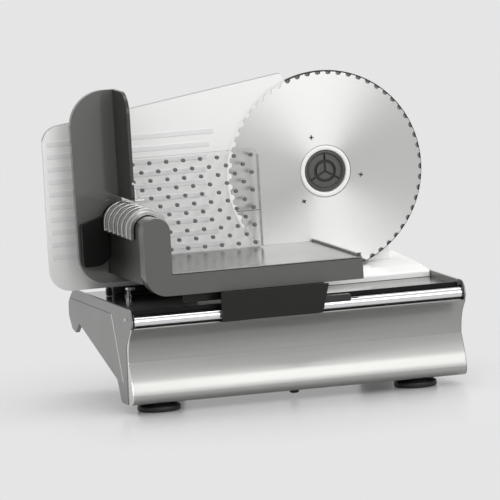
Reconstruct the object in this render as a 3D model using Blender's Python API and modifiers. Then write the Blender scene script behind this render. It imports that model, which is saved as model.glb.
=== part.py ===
"""Household electric slicer, built piece by piece at its real size.

Machine axes: X runs right from the base's left end, Y runs back from the front panel's lower edge and
Z runs up from the table top it stands on. The root empty moves that corner so that the finished
object's origin lies at the bottom centre of its box.
"""
import math

import bpy
import bmesh
from mathutils import Matrix, Vector

# Clearances
GAP = 0.0003
RUN = 0.0005

# Base
BASE_LENGTH = 0.321
BASE_LIFT = 0.009
CAP_WALL = 0.0040
CAP_NOSE_WALL = 0.0022
CAP_NOTCH_BACK = -0.0111
CAP_NOTCH_FLOOR = 0.0795
CAP_TOP = 0.0985
CAP_DEPTH = 0.195
CAP_CHAMFER = 0.0016
CAP_SCREW_HEAD = 0.0010
DECK_TOP = 0.0930
DECK_SHEET = 0.0012
DECK_FRONT = -0.0126
DECK_BACK = 0.188
DECK_LIP = 0.0034
PANEL_SHEET = 0.0012
PANEL_INSET = 0.0015
PAN_WALL = 0.0020
PAN_REAR_Z = 0.070
FOOT_RADIUS = 0.020
FOOT_X = 0.033
FOOT_Y = 0.014
LEG_X = 0.082
LEG_Y = 0.168
LEG_RADIUS = 0.014
STUD_X = 0.162
STUD_Y = 0.012

# Chrome rail
RAIL_RADIUS = 0.0052
RAIL_Y = -0.020
RAIL_Z = 0.0870
COLLAR_WALL = 0.0012

# Blade
BLADE_RADIUS = 0.0932
BLADE_FROM_END = 0.0823
BLADE_X = BASE_LENGTH - BLADE_FROM_END
BLADE_Y = 0.137
BLADE_WELL = 0.005
BLADE_FACE = BLADE_Y - BLADE_WELL
BLADE_OFF_DECK = 0.0068
BLADE_Z = DECK_TOP + BLADE_OFF_DECK + BLADE_RADIUS
BLADE_SHEET = 0.0015
TEETH = 58
TOOTH_DEPTH = 0.0031
HUB_HOLE = 0.0090
HUB_RING_RADIUS = 0.0243
LOCK_RADIUS = 0.0193
LOCK_HEIGHT = 0.0034
SCREW_CIRCLE = 0.0347
SCREW_RADIUS = 0.0036
CARRIER_RADIUS = 0.042

# Drive
GUARD_PROUD = 0.0012
GUARD_RADIUS = BLADE_RADIUS + GUARD_PROUD
GUARD_SHEET = 0.0024
GUARD_FROM = -78.0
GUARD_TO = 111.0
GUARD_NECK = 0.059
GUARD_NECK_WALL = 0.0025
HOUSING_RADIUS = 0.062
HOUSING_DEPTH = 0.052
HOUSING_WALL = 0.0025
COVER_DEPTH = 0.010
BUSH_RADIUS = 0.0157
HUB_RADIUS = 0.0120
AXLE_RADIUS = 0.0050
GEAR_RADIUS = 0.034
GEAR_WIDTH = 0.008
GEAR_TEETH = 32
GEAR_Y = 0.165
WORM_RADIUS = 0.006
SHAFT_RADIUS = 0.0025
MOTOR_RADIUS = 0.0175
MOTOR_HEIGHT = 0.050
FAN_RADIUS = 0.012
SKIRT_FRONT = 0.072
SKIRT_REACH = 0.0247
SKIRT_LEFT = BLADE_X - SKIRT_REACH
SKIRT_CLEARANCE = 0.004
SKIRT_LIP = 0.0048
SKIRT_SHOULDER = (0.0020, 0.0062)
SKIRT_KNEE = (0.0280, 0.0095)
SKIRT_CROWN = 0.0115
SKIRT_POCKET = 0.046
FRAME_LEFT_REACH = 0.022
FRAME_RIGHT_REACH = 0.012
FRAME_SHEET = 0.003
FRAME_FOOT = 0.018
FRAME_RISE = 0.016
BUSH_LENGTH = 0.012

# Thickness guide
GUIDE_LEFT = -0.0313
GUIDE_TIP_REACH = 0.0348
GUIDE_RIGHT = BLADE_X - GUIDE_TIP_REACH
GUIDE_BOTTOM = 0.1022
GUIDE_TOP_DROP = 0.0342
GUIDE_TOP_RIGHT = BLADE_Z + BLADE_RADIUS + 0.0025
GUIDE_TOP_LEFT = GUIDE_TOP_RIGHT - GUIDE_TOP_DROP
GUIDE_SETBACK = 0.0027
GUIDE_HOLLOW_GAP = 0.0012
GUIDE_SHEET = 0.004
GUIDE_FOOT_REACH = 0.0707
GUIDE_FOOT_END = BLADE_X - GUIDE_FOOT_REACH
RIB_PITCH = 0.0117
RIB_COUNT = 10
RIB_TOP = BLADE_Z + 0.0468
RIB_STOP = BLADE_RADIUS + 0.0222
RIB_HEIGHT = 0.0055
RIB_PROUD = 0.0008
ROD_RADIUS = 0.004
ROD_SPREAD = 0.050
KNOB_X = 0.070
KNOB_Z = 0.122
KNOB_AXLE_RADIUS = 0.0040
KNOB_STANDOFF = 0.0085
BLOCK_STANDOFF = 0.022
BLOCK_DEPTH = 0.012
BLOCK_RISE = 0.012
CARRIER_RISE = 0.016
KNOB_RADIUS = 0.016
KNOB_DEPTH = 0.016
YOKE_HALF = 0.040
YOKE_WALL = 0.006
BLOCK_HALF = 0.036

# Carriage
CARRIAGE_LEFT = 0.018
CARRIAGE_RIGHT = 0.2246
CARRIAGE_FRONT = -0.022
CARRIAGE_BACK = 0.131
BAR_BOTTOM = 0.1082
BAR_TOP = 0.1272
BAR_DEPTH = 0.016
WALL_WIDTH = 0.0255
WALL_TOP = 0.180
WALL_BOTTOM = 0.1194
SHELF_BOTTOM = 0.1215
TRAY_SHEET = 0.0012
STRIP_WIDTH = 0.003
STRIP_HEIGHT = 0.0026
BRACKET_LEFT = 0.0860
BRACKET_RIGHT = 0.1892
BRACKET_BOTTOM = 0.0808
BRACKET_FRONT = -0.0288
BRACKET_SHEET = 0.0022
SHOE_END = 0.2105
RUNNER_X = 0.150
RUNNER_Y = 0.050
RUNNER_HALF_X = 0.030
RUNNER_HALF_Y = 0.010

# Food pusher
SADDLE_FRONT = 0.0085
SADDLE_BACK = 0.097
SADDLE_RADIUS = 0.0168
SADDLE_RIB = 0.0027
SADDLE_LEGS = 0.0085
SADDLE_RIBS = 6
GUARD_PANEL_Y = 0.106
GUARD_PANEL_WALL = 0.006
GUARD_PANEL_LEFT = -0.0112
GUARD_PANEL_RIGHT = 0.034
GUARD_PANEL_BOTTOM = 0.1102
GUARD_PANEL_TOP = 0.2888
LIP_RIGHT = 0.0526
FIN_FRONT = 0.059
FIN_WALL = 0.003
FIN_BOTTOM = 0.1895
PRESSER_Y = 0.1225
PRESSER_WALL = 0.0025
PRESSER_RIGHT = 0.1705
PRESSER_TOP = 0.2212
HOLE_TOP = 0.2155
HOLE_RIGHT = 0.1649
PRESSER_BOTTOM = 0.1293
PRESSER_HOLE = 0.0019
HOLE_PITCH_X = 0.0163
HOLE_PITCH_Z = 0.0082

# Derived places
CAP_INNER = CAP_WALL + GAP
BLADE_BACK = BLADE_Y + BLADE_SHEET
FACE_BACK = BLADE_FACE + BLADE_SHEET
WELL_RADIUS = HUB_RING_RADIUS + GAP
GUARD_Y = FACE_BACK + 0.0006
HOUSING_Y = BLADE_BACK + 0.0048
HOUSING_BACK = HOUSING_Y + HOUSING_DEPTH
COVER_Y = HOUSING_BACK + GAP
COVER_BACK = COVER_Y + COVER_DEPTH
GUIDE_Y = BLADE_FACE + GUIDE_SETBACK
WORM_X = BLADE_X + GEAR_RADIUS + WORM_RADIUS + RUN
GEAR_MID = GEAR_Y + GEAR_WIDTH / 2
WALL_MID = CARRIAGE_LEFT + WALL_WIDTH / 2
WALL_ARC_Z = WALL_TOP - WALL_WIDTH / 2
TRAY_Z = BAR_TOP + GAP
TRAY_TOP = TRAY_Z + TRAY_SHEET
GLAND_LENGTH = 0.006
GLAND_X = BLADE_X - 0.040
GLAND_Z = DECK_TOP + 0.032
ORIGIN_X = (GUIDE_LEFT + BLADE_X + GUARD_RADIUS) / 2
ORIGIN_Y = (BRACKET_FRONT + COVER_BACK + GLAND_LENGTH) / 2

for item in list(bpy.data.objects):
    bpy.data.objects.remove(item, do_unlink=True)

parts = bpy.data.collections.new("meat_slicer")
cutters = bpy.data.collections.new("cutters")
bpy.context.scene.collection.children.link(parts)
bpy.context.scene.collection.children.link(cutters)

PALETTE = {
    "brushed_steel": ((0.55, 0.55, 0.54), 0.32, 1.0),
    "polished_steel": ((0.72, 0.72, 0.72), 0.15, 1.0),
    "chrome": ((0.85, 0.85, 0.86), 0.06, 1.0),
    "silver_plastic": ((0.33, 0.33, 0.32), 0.35, 0.0),
    "dark_plastic": ((0.10, 0.10, 0.095), 0.30, 0.0),
    "black_plastic": ((0.02, 0.02, 0.018), 0.35, 0.0),
    "white_plastic": ((0.86, 0.86, 0.85), 0.35, 0.0),
    "clear_plastic": ((0.85, 0.88, 0.90), 0.08, 0.0),
    "rubber": ((0.015, 0.015, 0.015), 0.7, 0.0),
    "zinc": ((0.50, 0.50, 0.48), 0.4, 1.0),
    "copper": ((0.60, 0.30, 0.16), 0.4, 1.0),
    "nylon": ((0.75, 0.73, 0.66), 0.5, 0.0),
}
materials = {}


def material(name):
    """One Principled material for each finish, made when it is first asked for."""
    if name not in materials:
        colour, roughness, metallic = PALETTE[name]
        made = bpy.data.materials.new(name)
        made.use_nodes = True
        shader = made.node_tree.nodes["Principled BSDF"]
        shader.inputs["Base Color"].default_value = (*colour, 1.0)
        shader.inputs["Roughness"].default_value = roughness
        shader.inputs["Metallic"].default_value = metallic
        made.diffuse_color = (*colour, 1.0)
        materials[name] = made
    return materials[name]


def body_empty(name, place, parent=None):
    """An empty on a body's joint axis; every piece of that body hangs from it."""
    empty = bpy.data.objects.new(name, None)
    parts.objects.link(empty)
    if parent is None:
        empty.location = place
    else:
        empty.parent = parent
        empty.location = Vector(place) - Vector(parent["place"])
    empty["place"] = tuple(place)
    return empty


machine = bpy.data.objects.new("machine_corner", None)
machine.location = (-ORIGIN_X, -ORIGIN_Y, 0.0)
machine["place"] = (0.0, 0.0, 0.0)
parts.objects.link(machine)
carriage = body_empty("carriage_body", (CARRIAGE_LEFT, RAIL_Y, RAIL_Z), machine)
pusher = body_empty("pusher_body", (WALL_MID, SADDLE_FRONT, WALL_ARC_Z), carriage)
spinner = body_empty("blade_body", (BLADE_X, BLADE_Y, BLADE_Z), machine)
lock = body_empty("blade_lock_body", (BLADE_X, BLADE_Y, BLADE_Z), spinner)
rotor = body_empty("rotor_body", (WORM_X, GEAR_MID, BLADE_Z), machine)
guide = body_empty("guide_body", (KNOB_X, GUIDE_Y, KNOB_Z), machine)
dial = body_empty("knob_body", (KNOB_X, DECK_BACK, KNOB_Z), machine)
SWITCH_X = BLADE_X + HOUSING_RADIUS + 0.0012
SWITCH_Y = HOUSING_Y + 0.040
SWITCH_Z = DECK_TOP + 0.057
rocker = body_empty("rocker_body", (SWITCH_X, SWITCH_Y, SWITCH_Z), machine)
BUTTON_X = BLADE_X
BUTTON_Y = HOUSING_Y + 0.030
BUTTON_Z = BLADE_Z + HOUSING_RADIUS
button = body_empty("button_body", (BUTTON_X, BUTTON_Y, BUTTON_Z), machine)


def add_piece(name, mesh, body, finish, round_piece=False):
    """Names a mesh as one piece of a body, with its origin on the body's axis."""
    mesh.name = name
    mesh.transform(Matrix.Translation(-Vector(body["place"])))
    piece = bpy.data.objects.new(name, mesh)
    piece.parent = body
    parts.objects.link(piece)
    mesh.materials.clear()
    mesh.materials.append(material(finish))
    if round_piece:
        mesh.shade_smooth()
        mesh.set_sharp_from_angle(angle=math.radians(35))
    return piece


def use_shape(piece, mesh, operation):
    """Cuts a shape out of a piece, or joins one to it, with a Boolean modifier."""
    tool = bpy.data.objects.new(piece.name + "_" + operation.lower(), mesh)
    tool.parent = machine
    tool.hide_render = True
    tool.display_type = "WIRE"
    cutters.objects.link(tool)
    step = piece.modifiers.new(operation.title(), "BOOLEAN")
    step.operation = operation
    step.object = tool


def cut(piece, mesh):
    use_shape(piece, mesh, "DIFFERENCE")


def join(piece, mesh):
    use_shape(piece, mesh, "UNION")


def round_edges(piece, width, segments=2):
    bevel = piece.modifiers.new("Edges", "BEVEL")
    bevel.width = width
    bevel.segments = segments
    bevel.limit_method = "ANGLE"
    bevel.angle_limit = math.radians(50)


def mesh_from(shape):
    """Turns a finished bmesh into a mesh with its faces pointing out."""
    bmesh.ops.recalc_face_normals(shape, faces=shape.faces)
    mesh = bpy.data.meshes.new("shape")
    shape.to_mesh(mesh)
    shape.free()
    return mesh


def joined(meshes):
    """Several separate solids as one mesh."""
    shape = bmesh.new()
    for mesh in meshes:
        shape.from_mesh(mesh)
        bpy.data.meshes.remove(mesh)
    return mesh_from(shape)


def box(x, y, z):
    """A block between two limits on each axis."""
    shape = bmesh.new()
    bmesh.ops.create_cube(shape, size=1.0)
    size = Vector((x[1] - x[0], y[1] - y[0], z[1] - z[0]))
    middle = Vector((x[0] + x[1], y[0] + y[1], z[0] + z[1])) / 2
    bmesh.ops.scale(shape, vec=size, verts=shape.verts)
    bmesh.ops.translate(shape, vec=middle, verts=shape.verts)
    return mesh_from(shape)


# Turns that lay a shape drawn around or across Z along another axis.
TURN = {
    "z": Matrix.Identity(4),
    "y": Matrix(((1, 0, 0, 0), (0, 0, 1, 0), (0, -1, 0, 0), (0, 0, 0, 1))),
    "x": Matrix(((0, 0, 1, 0), (1, 0, 0, 0), (0, 1, 0, 0), (0, 0, 0, 1))),
}
FLAT = {
    "z": Matrix.Identity(4),
    "y": Matrix(((1, 0, 0, 0), (0, 0, -1, 0), (0, 1, 0, 0), (0, 0, 0, 1))),
    "x": Matrix(((0, 0, 1, 0), (1, 0, 0, 0), (0, 1, 0, 0), (0, 0, 0, 1))),
}


def along(axis, distance):
    return Vector((distance * (axis == "x"), distance * (axis == "y"), distance * (axis == "z")))


def rod(axis, centre, radius, low, high, sides=24, end_radius=None):
    """A round bar or cone on a line through centre, from low to high along its axis."""
    shape = bmesh.new()
    last = radius if end_radius is None else end_radius
    bmesh.ops.create_cone(shape, cap_ends=True, segments=sides, radius1=radius, radius2=last,
                          depth=high - low)
    mesh = mesh_from(shape)
    across = Vector(centre) - along(axis, along(axis, 1.0).dot(Vector(centre)))
    mesh.transform(Matrix.Translation(across + along(axis, (low + high) / 2)) @ TURN[axis])
    return mesh


def turned(axis, centre, profile, steps=32):
    """A profile of (radius, height) points spun about an axis through centre."""
    mesh = bpy.data.meshes.new("profile")
    points = [(radius, 0.0, height) for radius, height in profile]
    closed = profile[0][0] > 1e-6 or profile[-1][0] > 1e-6
    count = len(points)
    edges = [(i, (i + 1) % count) for i in range(count if closed else count - 1)]
    mesh.from_pydata(points, edges, [])
    holder = bpy.data.objects.new("profile", mesh)
    bpy.context.scene.collection.objects.link(holder)
    screw = holder.modifiers.new("Turn", "SCREW")
    screw.steps = steps
    screw.render_steps = steps
    screw.use_merge_vertices = True
    screw.merge_threshold = 0.00001
    made = baked(holder)
    made.transform(Matrix.Translation(Vector(centre)) @ TURN[axis])
    return made


def baked(holder):
    """The evaluated mesh of a helper object, welded, with the helper removed."""
    graph = bpy.context.evaluated_depsgraph_get()
    graph.update()
    made = bpy.data.meshes.new_from_object(holder.evaluated_get(graph))
    bpy.data.objects.remove(holder, do_unlink=True)
    shape = bmesh.new()
    shape.from_mesh(made)
    bpy.data.meshes.remove(made)
    bmesh.ops.remove_doubles(shape, verts=shape.verts, dist=0.00001)
    return mesh_from(shape)


def outline(axis, points, low, high):
    """A flat closed outline given thickness along an axis.

    Its points are (x, z) across Y, (y, z) across X and (x, y) across Z.
    """
    curve = bpy.data.curves.new("outline", "CURVE")
    curve.dimensions = "2D"
    curve.fill_mode = "BOTH"
    curve.extrude = (high - low) / 2
    spline = curve.splines.new("POLY")
    spline.points.add(len(points) - 1)
    for point, place in zip(spline.points, points):
        point.co = (place[0], place[1], 0.0, 1.0)
    spline.use_cyclic_u = True
    holder = bpy.data.objects.new("outline", curve)
    bpy.context.scene.collection.objects.link(holder)
    mesh = baked(holder)
    bpy.data.curves.remove(curve)
    mesh.transform(Matrix.Translation(along(axis, (low + high) / 2)) @ FLAT[axis])
    return mesh


def polar(centre, radius, angle):
    """A point on a circle, its angle in degrees."""
    turn = math.radians(angle)
    return (centre[0] + radius * math.cos(turn), centre[1] + radius * math.sin(turn))


def arc(centre, radius, start, end, steps):
    """Points on an arc, angles in degrees, both ends included."""
    return [polar(centre, radius, start + (end - start) * i / steps) for i in range(steps + 1)]


def rounded(corners, steps=4):
    """A closed outline through (a, b, radius) corners, each rounded to its radius."""
    points = []
    count = len(corners)
    for i, (a, b, radius) in enumerate(corners):
        here = Vector((a, b))
        before = (Vector(corners[i - 1][:2]) - here).normalized()
        after = (Vector(corners[(i + 1) % count][:2]) - here).normalized()
        if radius <= 0.0:
            points.append((a, b))
            continue
        half = before.angle(after) / 2
        reach = radius / math.tan(half)
        middle = here + (before + after).normalized() * radius / math.sin(half)
        first = here + before * reach - middle
        last = here + after * reach - middle
        turn = first.angle_signed(last)
        for k in range(steps + 1):
            spun = Matrix.Rotation(-turn * k / steps, 2) @ first
            points.append(tuple(middle + spun))
    return points


def slice_off(mesh, point, normal):
    """Removes what lies on the normal's side of a plane and closes the cut."""
    shape = bmesh.new()
    shape.from_mesh(mesh)
    bpy.data.meshes.remove(mesh)
    geometry = shape.verts[:] + shape.edges[:] + shape.faces[:]
    result = bmesh.ops.bisect_plane(shape, geom=geometry, plane_co=point, plane_no=normal, clear_outer=True)
    rim = [item for item in result["geom_cut"] if isinstance(item, bmesh.types.BMEdge)]
    bmesh.ops.contextual_create(shape, geom=rim)
    return mesh_from(shape)


# Base: a bent steel front, a steel deck and a pan between two moulded end caps.

def panel_profile():
    """Front panel from its lower edge up its rolled foot and waist to the rail channel."""
    channel = RAIL_Z - RAIL_RADIUS - GAP
    behind = RAIL_Y + RAIL_RADIUS + 0.0009
    return [
        (-0.0020, BASE_LIFT),
        (-0.0110, BASE_LIFT + 0.0012),
        (-0.0155, BASE_LIFT + 0.0060),
        (-0.0172, BASE_LIFT + 0.0140),
        (-0.0155, BASE_LIFT + 0.0220),
        (-0.0105, BASE_LIFT + 0.0300),
        (-0.0070, BASE_LIFT + 0.0380),
        (-0.0060, BASE_LIFT + 0.0455),
        (-0.0078, BASE_LIFT + 0.0530),
        (-0.0125, BASE_LIFT + 0.0600),
        (-0.0190, BASE_LIFT + 0.0660),
        (-0.0232, BASE_LIFT + 0.0690),
        (-0.0236, channel - 0.0014),
        (-0.0230, channel + 0.0004),
        (-0.0214, channel - 0.0002),
        (behind - 0.0010, channel - 0.0002),
        (behind, channel + 0.0010),
        (behind, DECK_TOP - DECK_SHEET - GAP),
    ]


def ribbon(profile, low, high):
    """An open sheet: a (y, z) profile swept along X."""
    shape = bmesh.new()
    verts = [shape.verts.new((low, y, z)) for y, z in profile]
    edges = [shape.edges.new(pair) for pair in zip(verts, verts[1:])]
    swept = bmesh.ops.extrude_edge_only(shape, edges=edges)
    moved = [item for item in swept["geom"] if isinstance(item, bmesh.types.BMVert)]
    bmesh.ops.translate(shape, vec=(high - low, 0.0, 0.0), verts=moved)
    return mesh_from(shape)


def add_wall(piece, thickness, side):
    wall = piece.modifiers.new("Wall", "SOLIDIFY")
    wall.thickness = thickness
    wall.offset = side
    wall.use_even_offset = True


front = add_piece("front_panel", ribbon(panel_profile(), PANEL_INSET, BASE_LENGTH - PANEL_INSET), machine,
                  "brushed_steel", True)
add_wall(front, PANEL_SHEET, -1.0)
RAIL_END = CAP_NOSE_WALL + GAP
for low, high in ((-0.01, CAP_INNER), (BASE_LENGTH - CAP_INNER, BASE_LENGTH + 0.01)):
    cut(front, box((low, high), (-0.0226, 0.01), (0.0780, 0.12)))
for low, high in ((-0.01, RAIL_END), (BASE_LENGTH - RAIL_END, BASE_LENGTH + 0.01)):
    cut(front, box((low, high), (-0.05, 0.01), (0.0780, 0.12)))


def cap_outline():
    """End cap seen from the side: a waisted front, a raked underside and a notched tail."""
    nose = RAIL_Y - RAIL_RADIUS - 0.0022
    return rounded([
        (0.0000, BASE_LIFT, 0.0015),
        (0.0215, BASE_LIFT, 0.0060),
        (0.0330, 0.0290, 0.0080),
        (CAP_DEPTH - 0.0360, 0.0678, 0.0030),
        (CAP_DEPTH - 0.0220, 0.0580, 0.0030),
        (CAP_DEPTH - 0.0100, 0.0605, 0.0040),
        (CAP_DEPTH, 0.0725, 0.0030),
        (CAP_DEPTH - 0.0008, CAP_TOP - 0.0140, 0.0040),
        (CAP_DEPTH - 0.0150, CAP_TOP, 0.0030),
        (nose + 0.0060, CAP_TOP, 0.0060),
        (nose, 0.0850, 0.0060),
        (-0.0048, 0.0640, 0.0120),
        (-0.0018, 0.0330, 0.0200),
    ], 3)


def cap_mesh():
    mesh = outline("x", cap_outline(), 0.0, CAP_WALL)
    mesh = slice_off(mesh, (CAP_CHAMFER, 0.0, CAP_TOP), (-0.0090, 0.0, CAP_CHAMFER))
    return slice_off(mesh, (0.0, 0.0406, CAP_TOP - 0.0090), (-0.0600, -0.00064, 0.00031))


def mirrored(mesh):
    """The same shape at the base's other end."""
    mesh.transform(Matrix.Translation((BASE_LENGTH, 0.0, 0.0)) @ Matrix.Scale(-1.0, 4, (1.0, 0.0, 0.0)))
    mesh.flip_normals()
    return mesh




def notch_mesh():
    """What is hollowed out of a cap's nose for the end of the rail and its collar."""
    return box((CAP_NOSE_WALL, CAP_WALL + 0.01), (-0.05, CAP_NOTCH_BACK), (CAP_NOTCH_FLOOR, CAP_TOP + 0.01))


cap_left = add_piece("end_cap_left", cap_mesh(), machine, "silver_plastic")
cut(cap_left, notch_mesh())
cap_right = add_piece("end_cap_right", mirrored(cap_mesh()), machine, "silver_plastic")
cut(cap_right, mirrored(notch_mesh()))
CAP_SCREW = (0.0, -0.0109, 0.0889)
CAP_SCREW_RADIUS = 0.0015
CAP_SCREW_SEAT = 0.00024
add_piece("cap_screw_left", rod("x", CAP_SCREW, CAP_SCREW_RADIUS, CAP_SCREW_SEAT - CAP_SCREW_HEAD, CAP_SCREW_SEAT, 16),
          machine, "zinc", True)
RIGHT_SEAT = BASE_LENGTH - CAP_SCREW_SEAT
add_piece("cap_screw_right", rod("x", CAP_SCREW, CAP_SCREW_RADIUS, RIGHT_SEAT, RIGHT_SEAT + CAP_SCREW_HEAD, 16),
          machine, "zinc", True)

deck = add_piece("deck", box((CAP_INNER, BASE_LENGTH - CAP_INNER), (DECK_FRONT, DECK_BACK),
                             (DECK_TOP - DECK_SHEET, DECK_TOP)), machine, "polished_steel")
join(deck, box((CAP_INNER, BASE_LENGTH - CAP_INNER), (DECK_FRONT, DECK_FRONT + DECK_SHEET),
               (DECK_TOP - DECK_SHEET, DECK_TOP + DECK_LIP)))

pan_profile = [
    (0.0005, BASE_LIFT + 0.0040),
    (0.0005, BASE_LIFT + GAP),
    (0.0225, BASE_LIFT + GAP),
    (0.0345, 0.0320),
    (0.1390, 0.0660),
    (0.1500, PAN_REAR_Z),
    (DECK_BACK, PAN_REAR_Z),
    (DECK_BACK, DECK_TOP - DECK_SHEET - GAP),
]
pan = add_piece("bottom_pan", ribbon(pan_profile, CAP_INNER, BASE_LENGTH - CAP_INNER), machine, "black_plastic")
add_wall(pan, PAN_WALL, -1.0)

add_piece("slide_rail", rod("x", (0.0, RAIL_Y, RAIL_Z), RAIL_RADIUS, RAIL_END, BASE_LENGTH - RAIL_END, 28),
          machine, "chrome", True)


def collar_outline():
    """A block about the rail, open below where the front panel's channel carries the rail."""
    low = RAIL_Z - RAIL_RADIUS + 0.0005
    inner = arc((RAIL_Y, RAIL_Z), RAIL_RADIUS + GAP, -50.0, 230.0, 20)
    front = RAIL_Y - RAIL_RADIUS - 0.0020
    back = RAIL_Y + RAIL_RADIUS + 0.0005
    return [(front, low), (front, RAIL_Z + 0.0075), (back, RAIL_Z + 0.0075), (back, low)] + inner


COLLAR_ENDS = {"left": RAIL_END, "right": BASE_LENGTH - RAIL_END - COLLAR_WALL}
for side, low in COLLAR_ENDS.items():
    add_piece("rail_collar_" + side, outline("x", collar_outline(), low, low + COLLAR_WALL), machine, "black_plastic")


def foot_mesh(x, y):
    """A soft round foot with a sloping skirt."""
    top = BASE_LIFT
    profile = [
        (0.0, top), (FOOT_RADIUS - 0.0060, top), (FOOT_RADIUS - 0.0015, top - 0.0025),
        (FOOT_RADIUS, 0.0030), (FOOT_RADIUS - 0.0008, 0.0), (0.0, 0.0),
    ]
    return turned("z", (x, y, 0.0), profile, 24)


LEG_XS = {"left": LEG_X, "right": BASE_LENGTH - FOOT_X}
FOOT_XS = {"left": FOOT_X, "right": BASE_LENGTH - FOOT_X - 0.009}
for side in ("left", "right"):
    add_piece("foot_front_" + side, foot_mesh(FOOT_XS[side], FOOT_Y), machine, "rubber", True)
    add_piece("foot_rear_" + side, foot_mesh(LEG_XS[side], LEG_Y), machine, "rubber", True)
    leg = rod("z", (LEG_XS[side], LEG_Y, 0.0), LEG_RADIUS + 0.003, BASE_LIFT + GAP, PAN_REAR_Z - GAP, 20, LEG_RADIUS)
    add_piece("rear_leg_" + side, leg, machine, "black_plastic", True)
add_piece("middle_stud", rod("z", (STUD_X, STUD_Y, 0.0), 0.0045, BASE_LIFT - 0.0045, BASE_LIFT, 16), machine,
          "black_plastic", True)

# Drive side: white skirt, housing and rear cover, with the guard that stands behind the blade.

DRIVE = (BLADE_X, 0.0, BLADE_Z)
DRIVE_XZ = (BLADE_X, BLADE_Z)


def housing_outline(inset):
    """An arch: flat on the deck and round about the blade's axle."""
    radius = HOUSING_RADIUS - inset
    bottom = DECK_TOP + GAP + inset
    return [(BLADE_X - radius, bottom), (BLADE_X + radius, bottom)] + arc(DRIVE_XZ, radius, 0.0, 180.0, 28)


housing = add_piece("motor_housing", outline("y", housing_outline(0.0), HOUSING_Y, HOUSING_BACK), machine,
                    "white_plastic", True)
cut(housing, outline("y", housing_outline(HOUSING_WALL), HOUSING_Y + HOUSING_WALL, HOUSING_BACK + 0.01))
cut(housing, rod("y", DRIVE, BUSH_RADIUS + GAP, HOUSING_Y - 0.01, HOUSING_Y + 0.01, 32))
cut(housing, rod("z", (BUTTON_X, BUTTON_Y, 0.0), 0.0072, BUTTON_Z - 0.010, BUTTON_Z + 0.010, 24))

cover = add_piece("rear_cover", outline("y", housing_outline(0.0), COVER_Y, COVER_BACK), machine,
                  "white_plastic", True)
round_edges(cover, 0.0030)
cut(cover, outline("y", housing_outline(HOUSING_WALL), COVER_Y - 0.01, COVER_BACK - HOUSING_WALL))
VENT_ROWS = 7
VENT_PITCH = 0.0080
for row in range(VENT_ROWS):
    z = BLADE_Z - 0.030 + row * VENT_PITCH
    cut(cover, box((BLADE_X - 0.025, BLADE_X + 0.025), (COVER_BACK - 0.006, COVER_BACK + 0.004), (z, z + 0.003)))
gland = rod("y", (GLAND_X, 0.0, GLAND_Z), 0.0060, COVER_BACK + GAP, COVER_BACK + GLAND_LENGTH, 16)
add_piece("cord_gland", gland, machine, "black_plastic", True)
cut(bpy.data.objects["cord_gland"], rod("y", (GLAND_X, 0.0, GLAND_Z), 0.0033, COVER_BACK - 0.01,
                                        COVER_BACK + 0.02, 12))

skirt_profile = [
    (SKIRT_FRONT, DECK_TOP + GAP),
    (SKIRT_FRONT, DECK_TOP + SKIRT_LIP),
    (SKIRT_FRONT + SKIRT_SHOULDER[0], DECK_TOP + SKIRT_SHOULDER[1]),
    (SKIRT_FRONT + SKIRT_KNEE[0], DECK_TOP + SKIRT_KNEE[1]),
    (HOUSING_Y - GAP, DECK_TOP + SKIRT_CROWN),
    (HOUSING_Y - GAP, DECK_TOP + GAP),
]
skirt = add_piece("housing_skirt", outline("x", skirt_profile, SKIRT_LEFT, BASE_LENGTH - CAP_INNER - GAP), machine,
                  "white_plastic")
cut(skirt, rod("y", DRIVE, BLADE_RADIUS + SKIRT_CLEARANCE, SKIRT_FRONT + SKIRT_POCKET, HOUSING_Y + 0.010, 72))


def guard_outline():
    """A disc behind the blade that steps out to a ring where the guide plate isn't."""
    wide = arc(DRIVE_XZ, GUARD_RADIUS, GUARD_FROM, GUARD_TO, 44)
    narrow = arc(DRIVE_XZ, HOUSING_RADIUS - 0.001, GUARD_TO, 360.0 + GUARD_FROM, 20)
    return wide + narrow


guard = add_piece("blade_guard", outline("y", guard_outline(), GUARD_Y, GUARD_Y + GUARD_SHEET), machine,
                  "dark_plastic", True)
join(guard, rod("y", DRIVE, GUARD_NECK, GUARD_Y + 0.001, HOUSING_Y - GAP, 56))
cut(guard, rod("y", DRIVE, GUARD_NECK - GUARD_NECK_WALL, GUARD_Y + GUARD_SHEET, HOUSING_Y + 0.01, 56))
cut(guard, rod("y", DRIVE, CARRIER_RADIUS + 0.003, GUARD_Y - 0.01, GUARD_Y + 0.01, 48))

bushing = [
    (BUSH_RADIUS, HOUSING_Y + BUSH_LENGTH), (BUSH_RADIUS, HOUSING_Y),
    (HUB_RADIUS + GAP, HOUSING_Y), (HUB_RADIUS + GAP, HOUSING_Y + BUSH_LENGTH),
]
add_piece("axle_bushing", turned("y", DRIVE, bushing, 32), machine, "nylon", True)
FRAME_Y = GEAR_Y + GEAR_WIDTH + 0.006
add_piece("blade_axle", rod("y", DRIVE, AXLE_RADIUS, BLADE_BACK + 0.0012, FRAME_Y - GAP, 20), machine, "zinc", True)
frame_width = (BLADE_X - FRAME_LEFT_REACH, BLADE_X + FRAME_RIGHT_REACH)
frame_foot = DECK_TOP + HOUSING_WALL + 2 * GAP
frame = add_piece("gearbox_frame", box(frame_width, (FRAME_Y, FRAME_Y + FRAME_SHEET),
                                       (frame_foot, BLADE_Z + FRAME_RISE)), machine, "zinc")
join(frame, box(frame_width, (FRAME_Y + FRAME_SHEET / 3, FRAME_Y + FRAME_FOOT),
                (frame_foot, frame_foot + FRAME_SHEET)))

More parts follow.
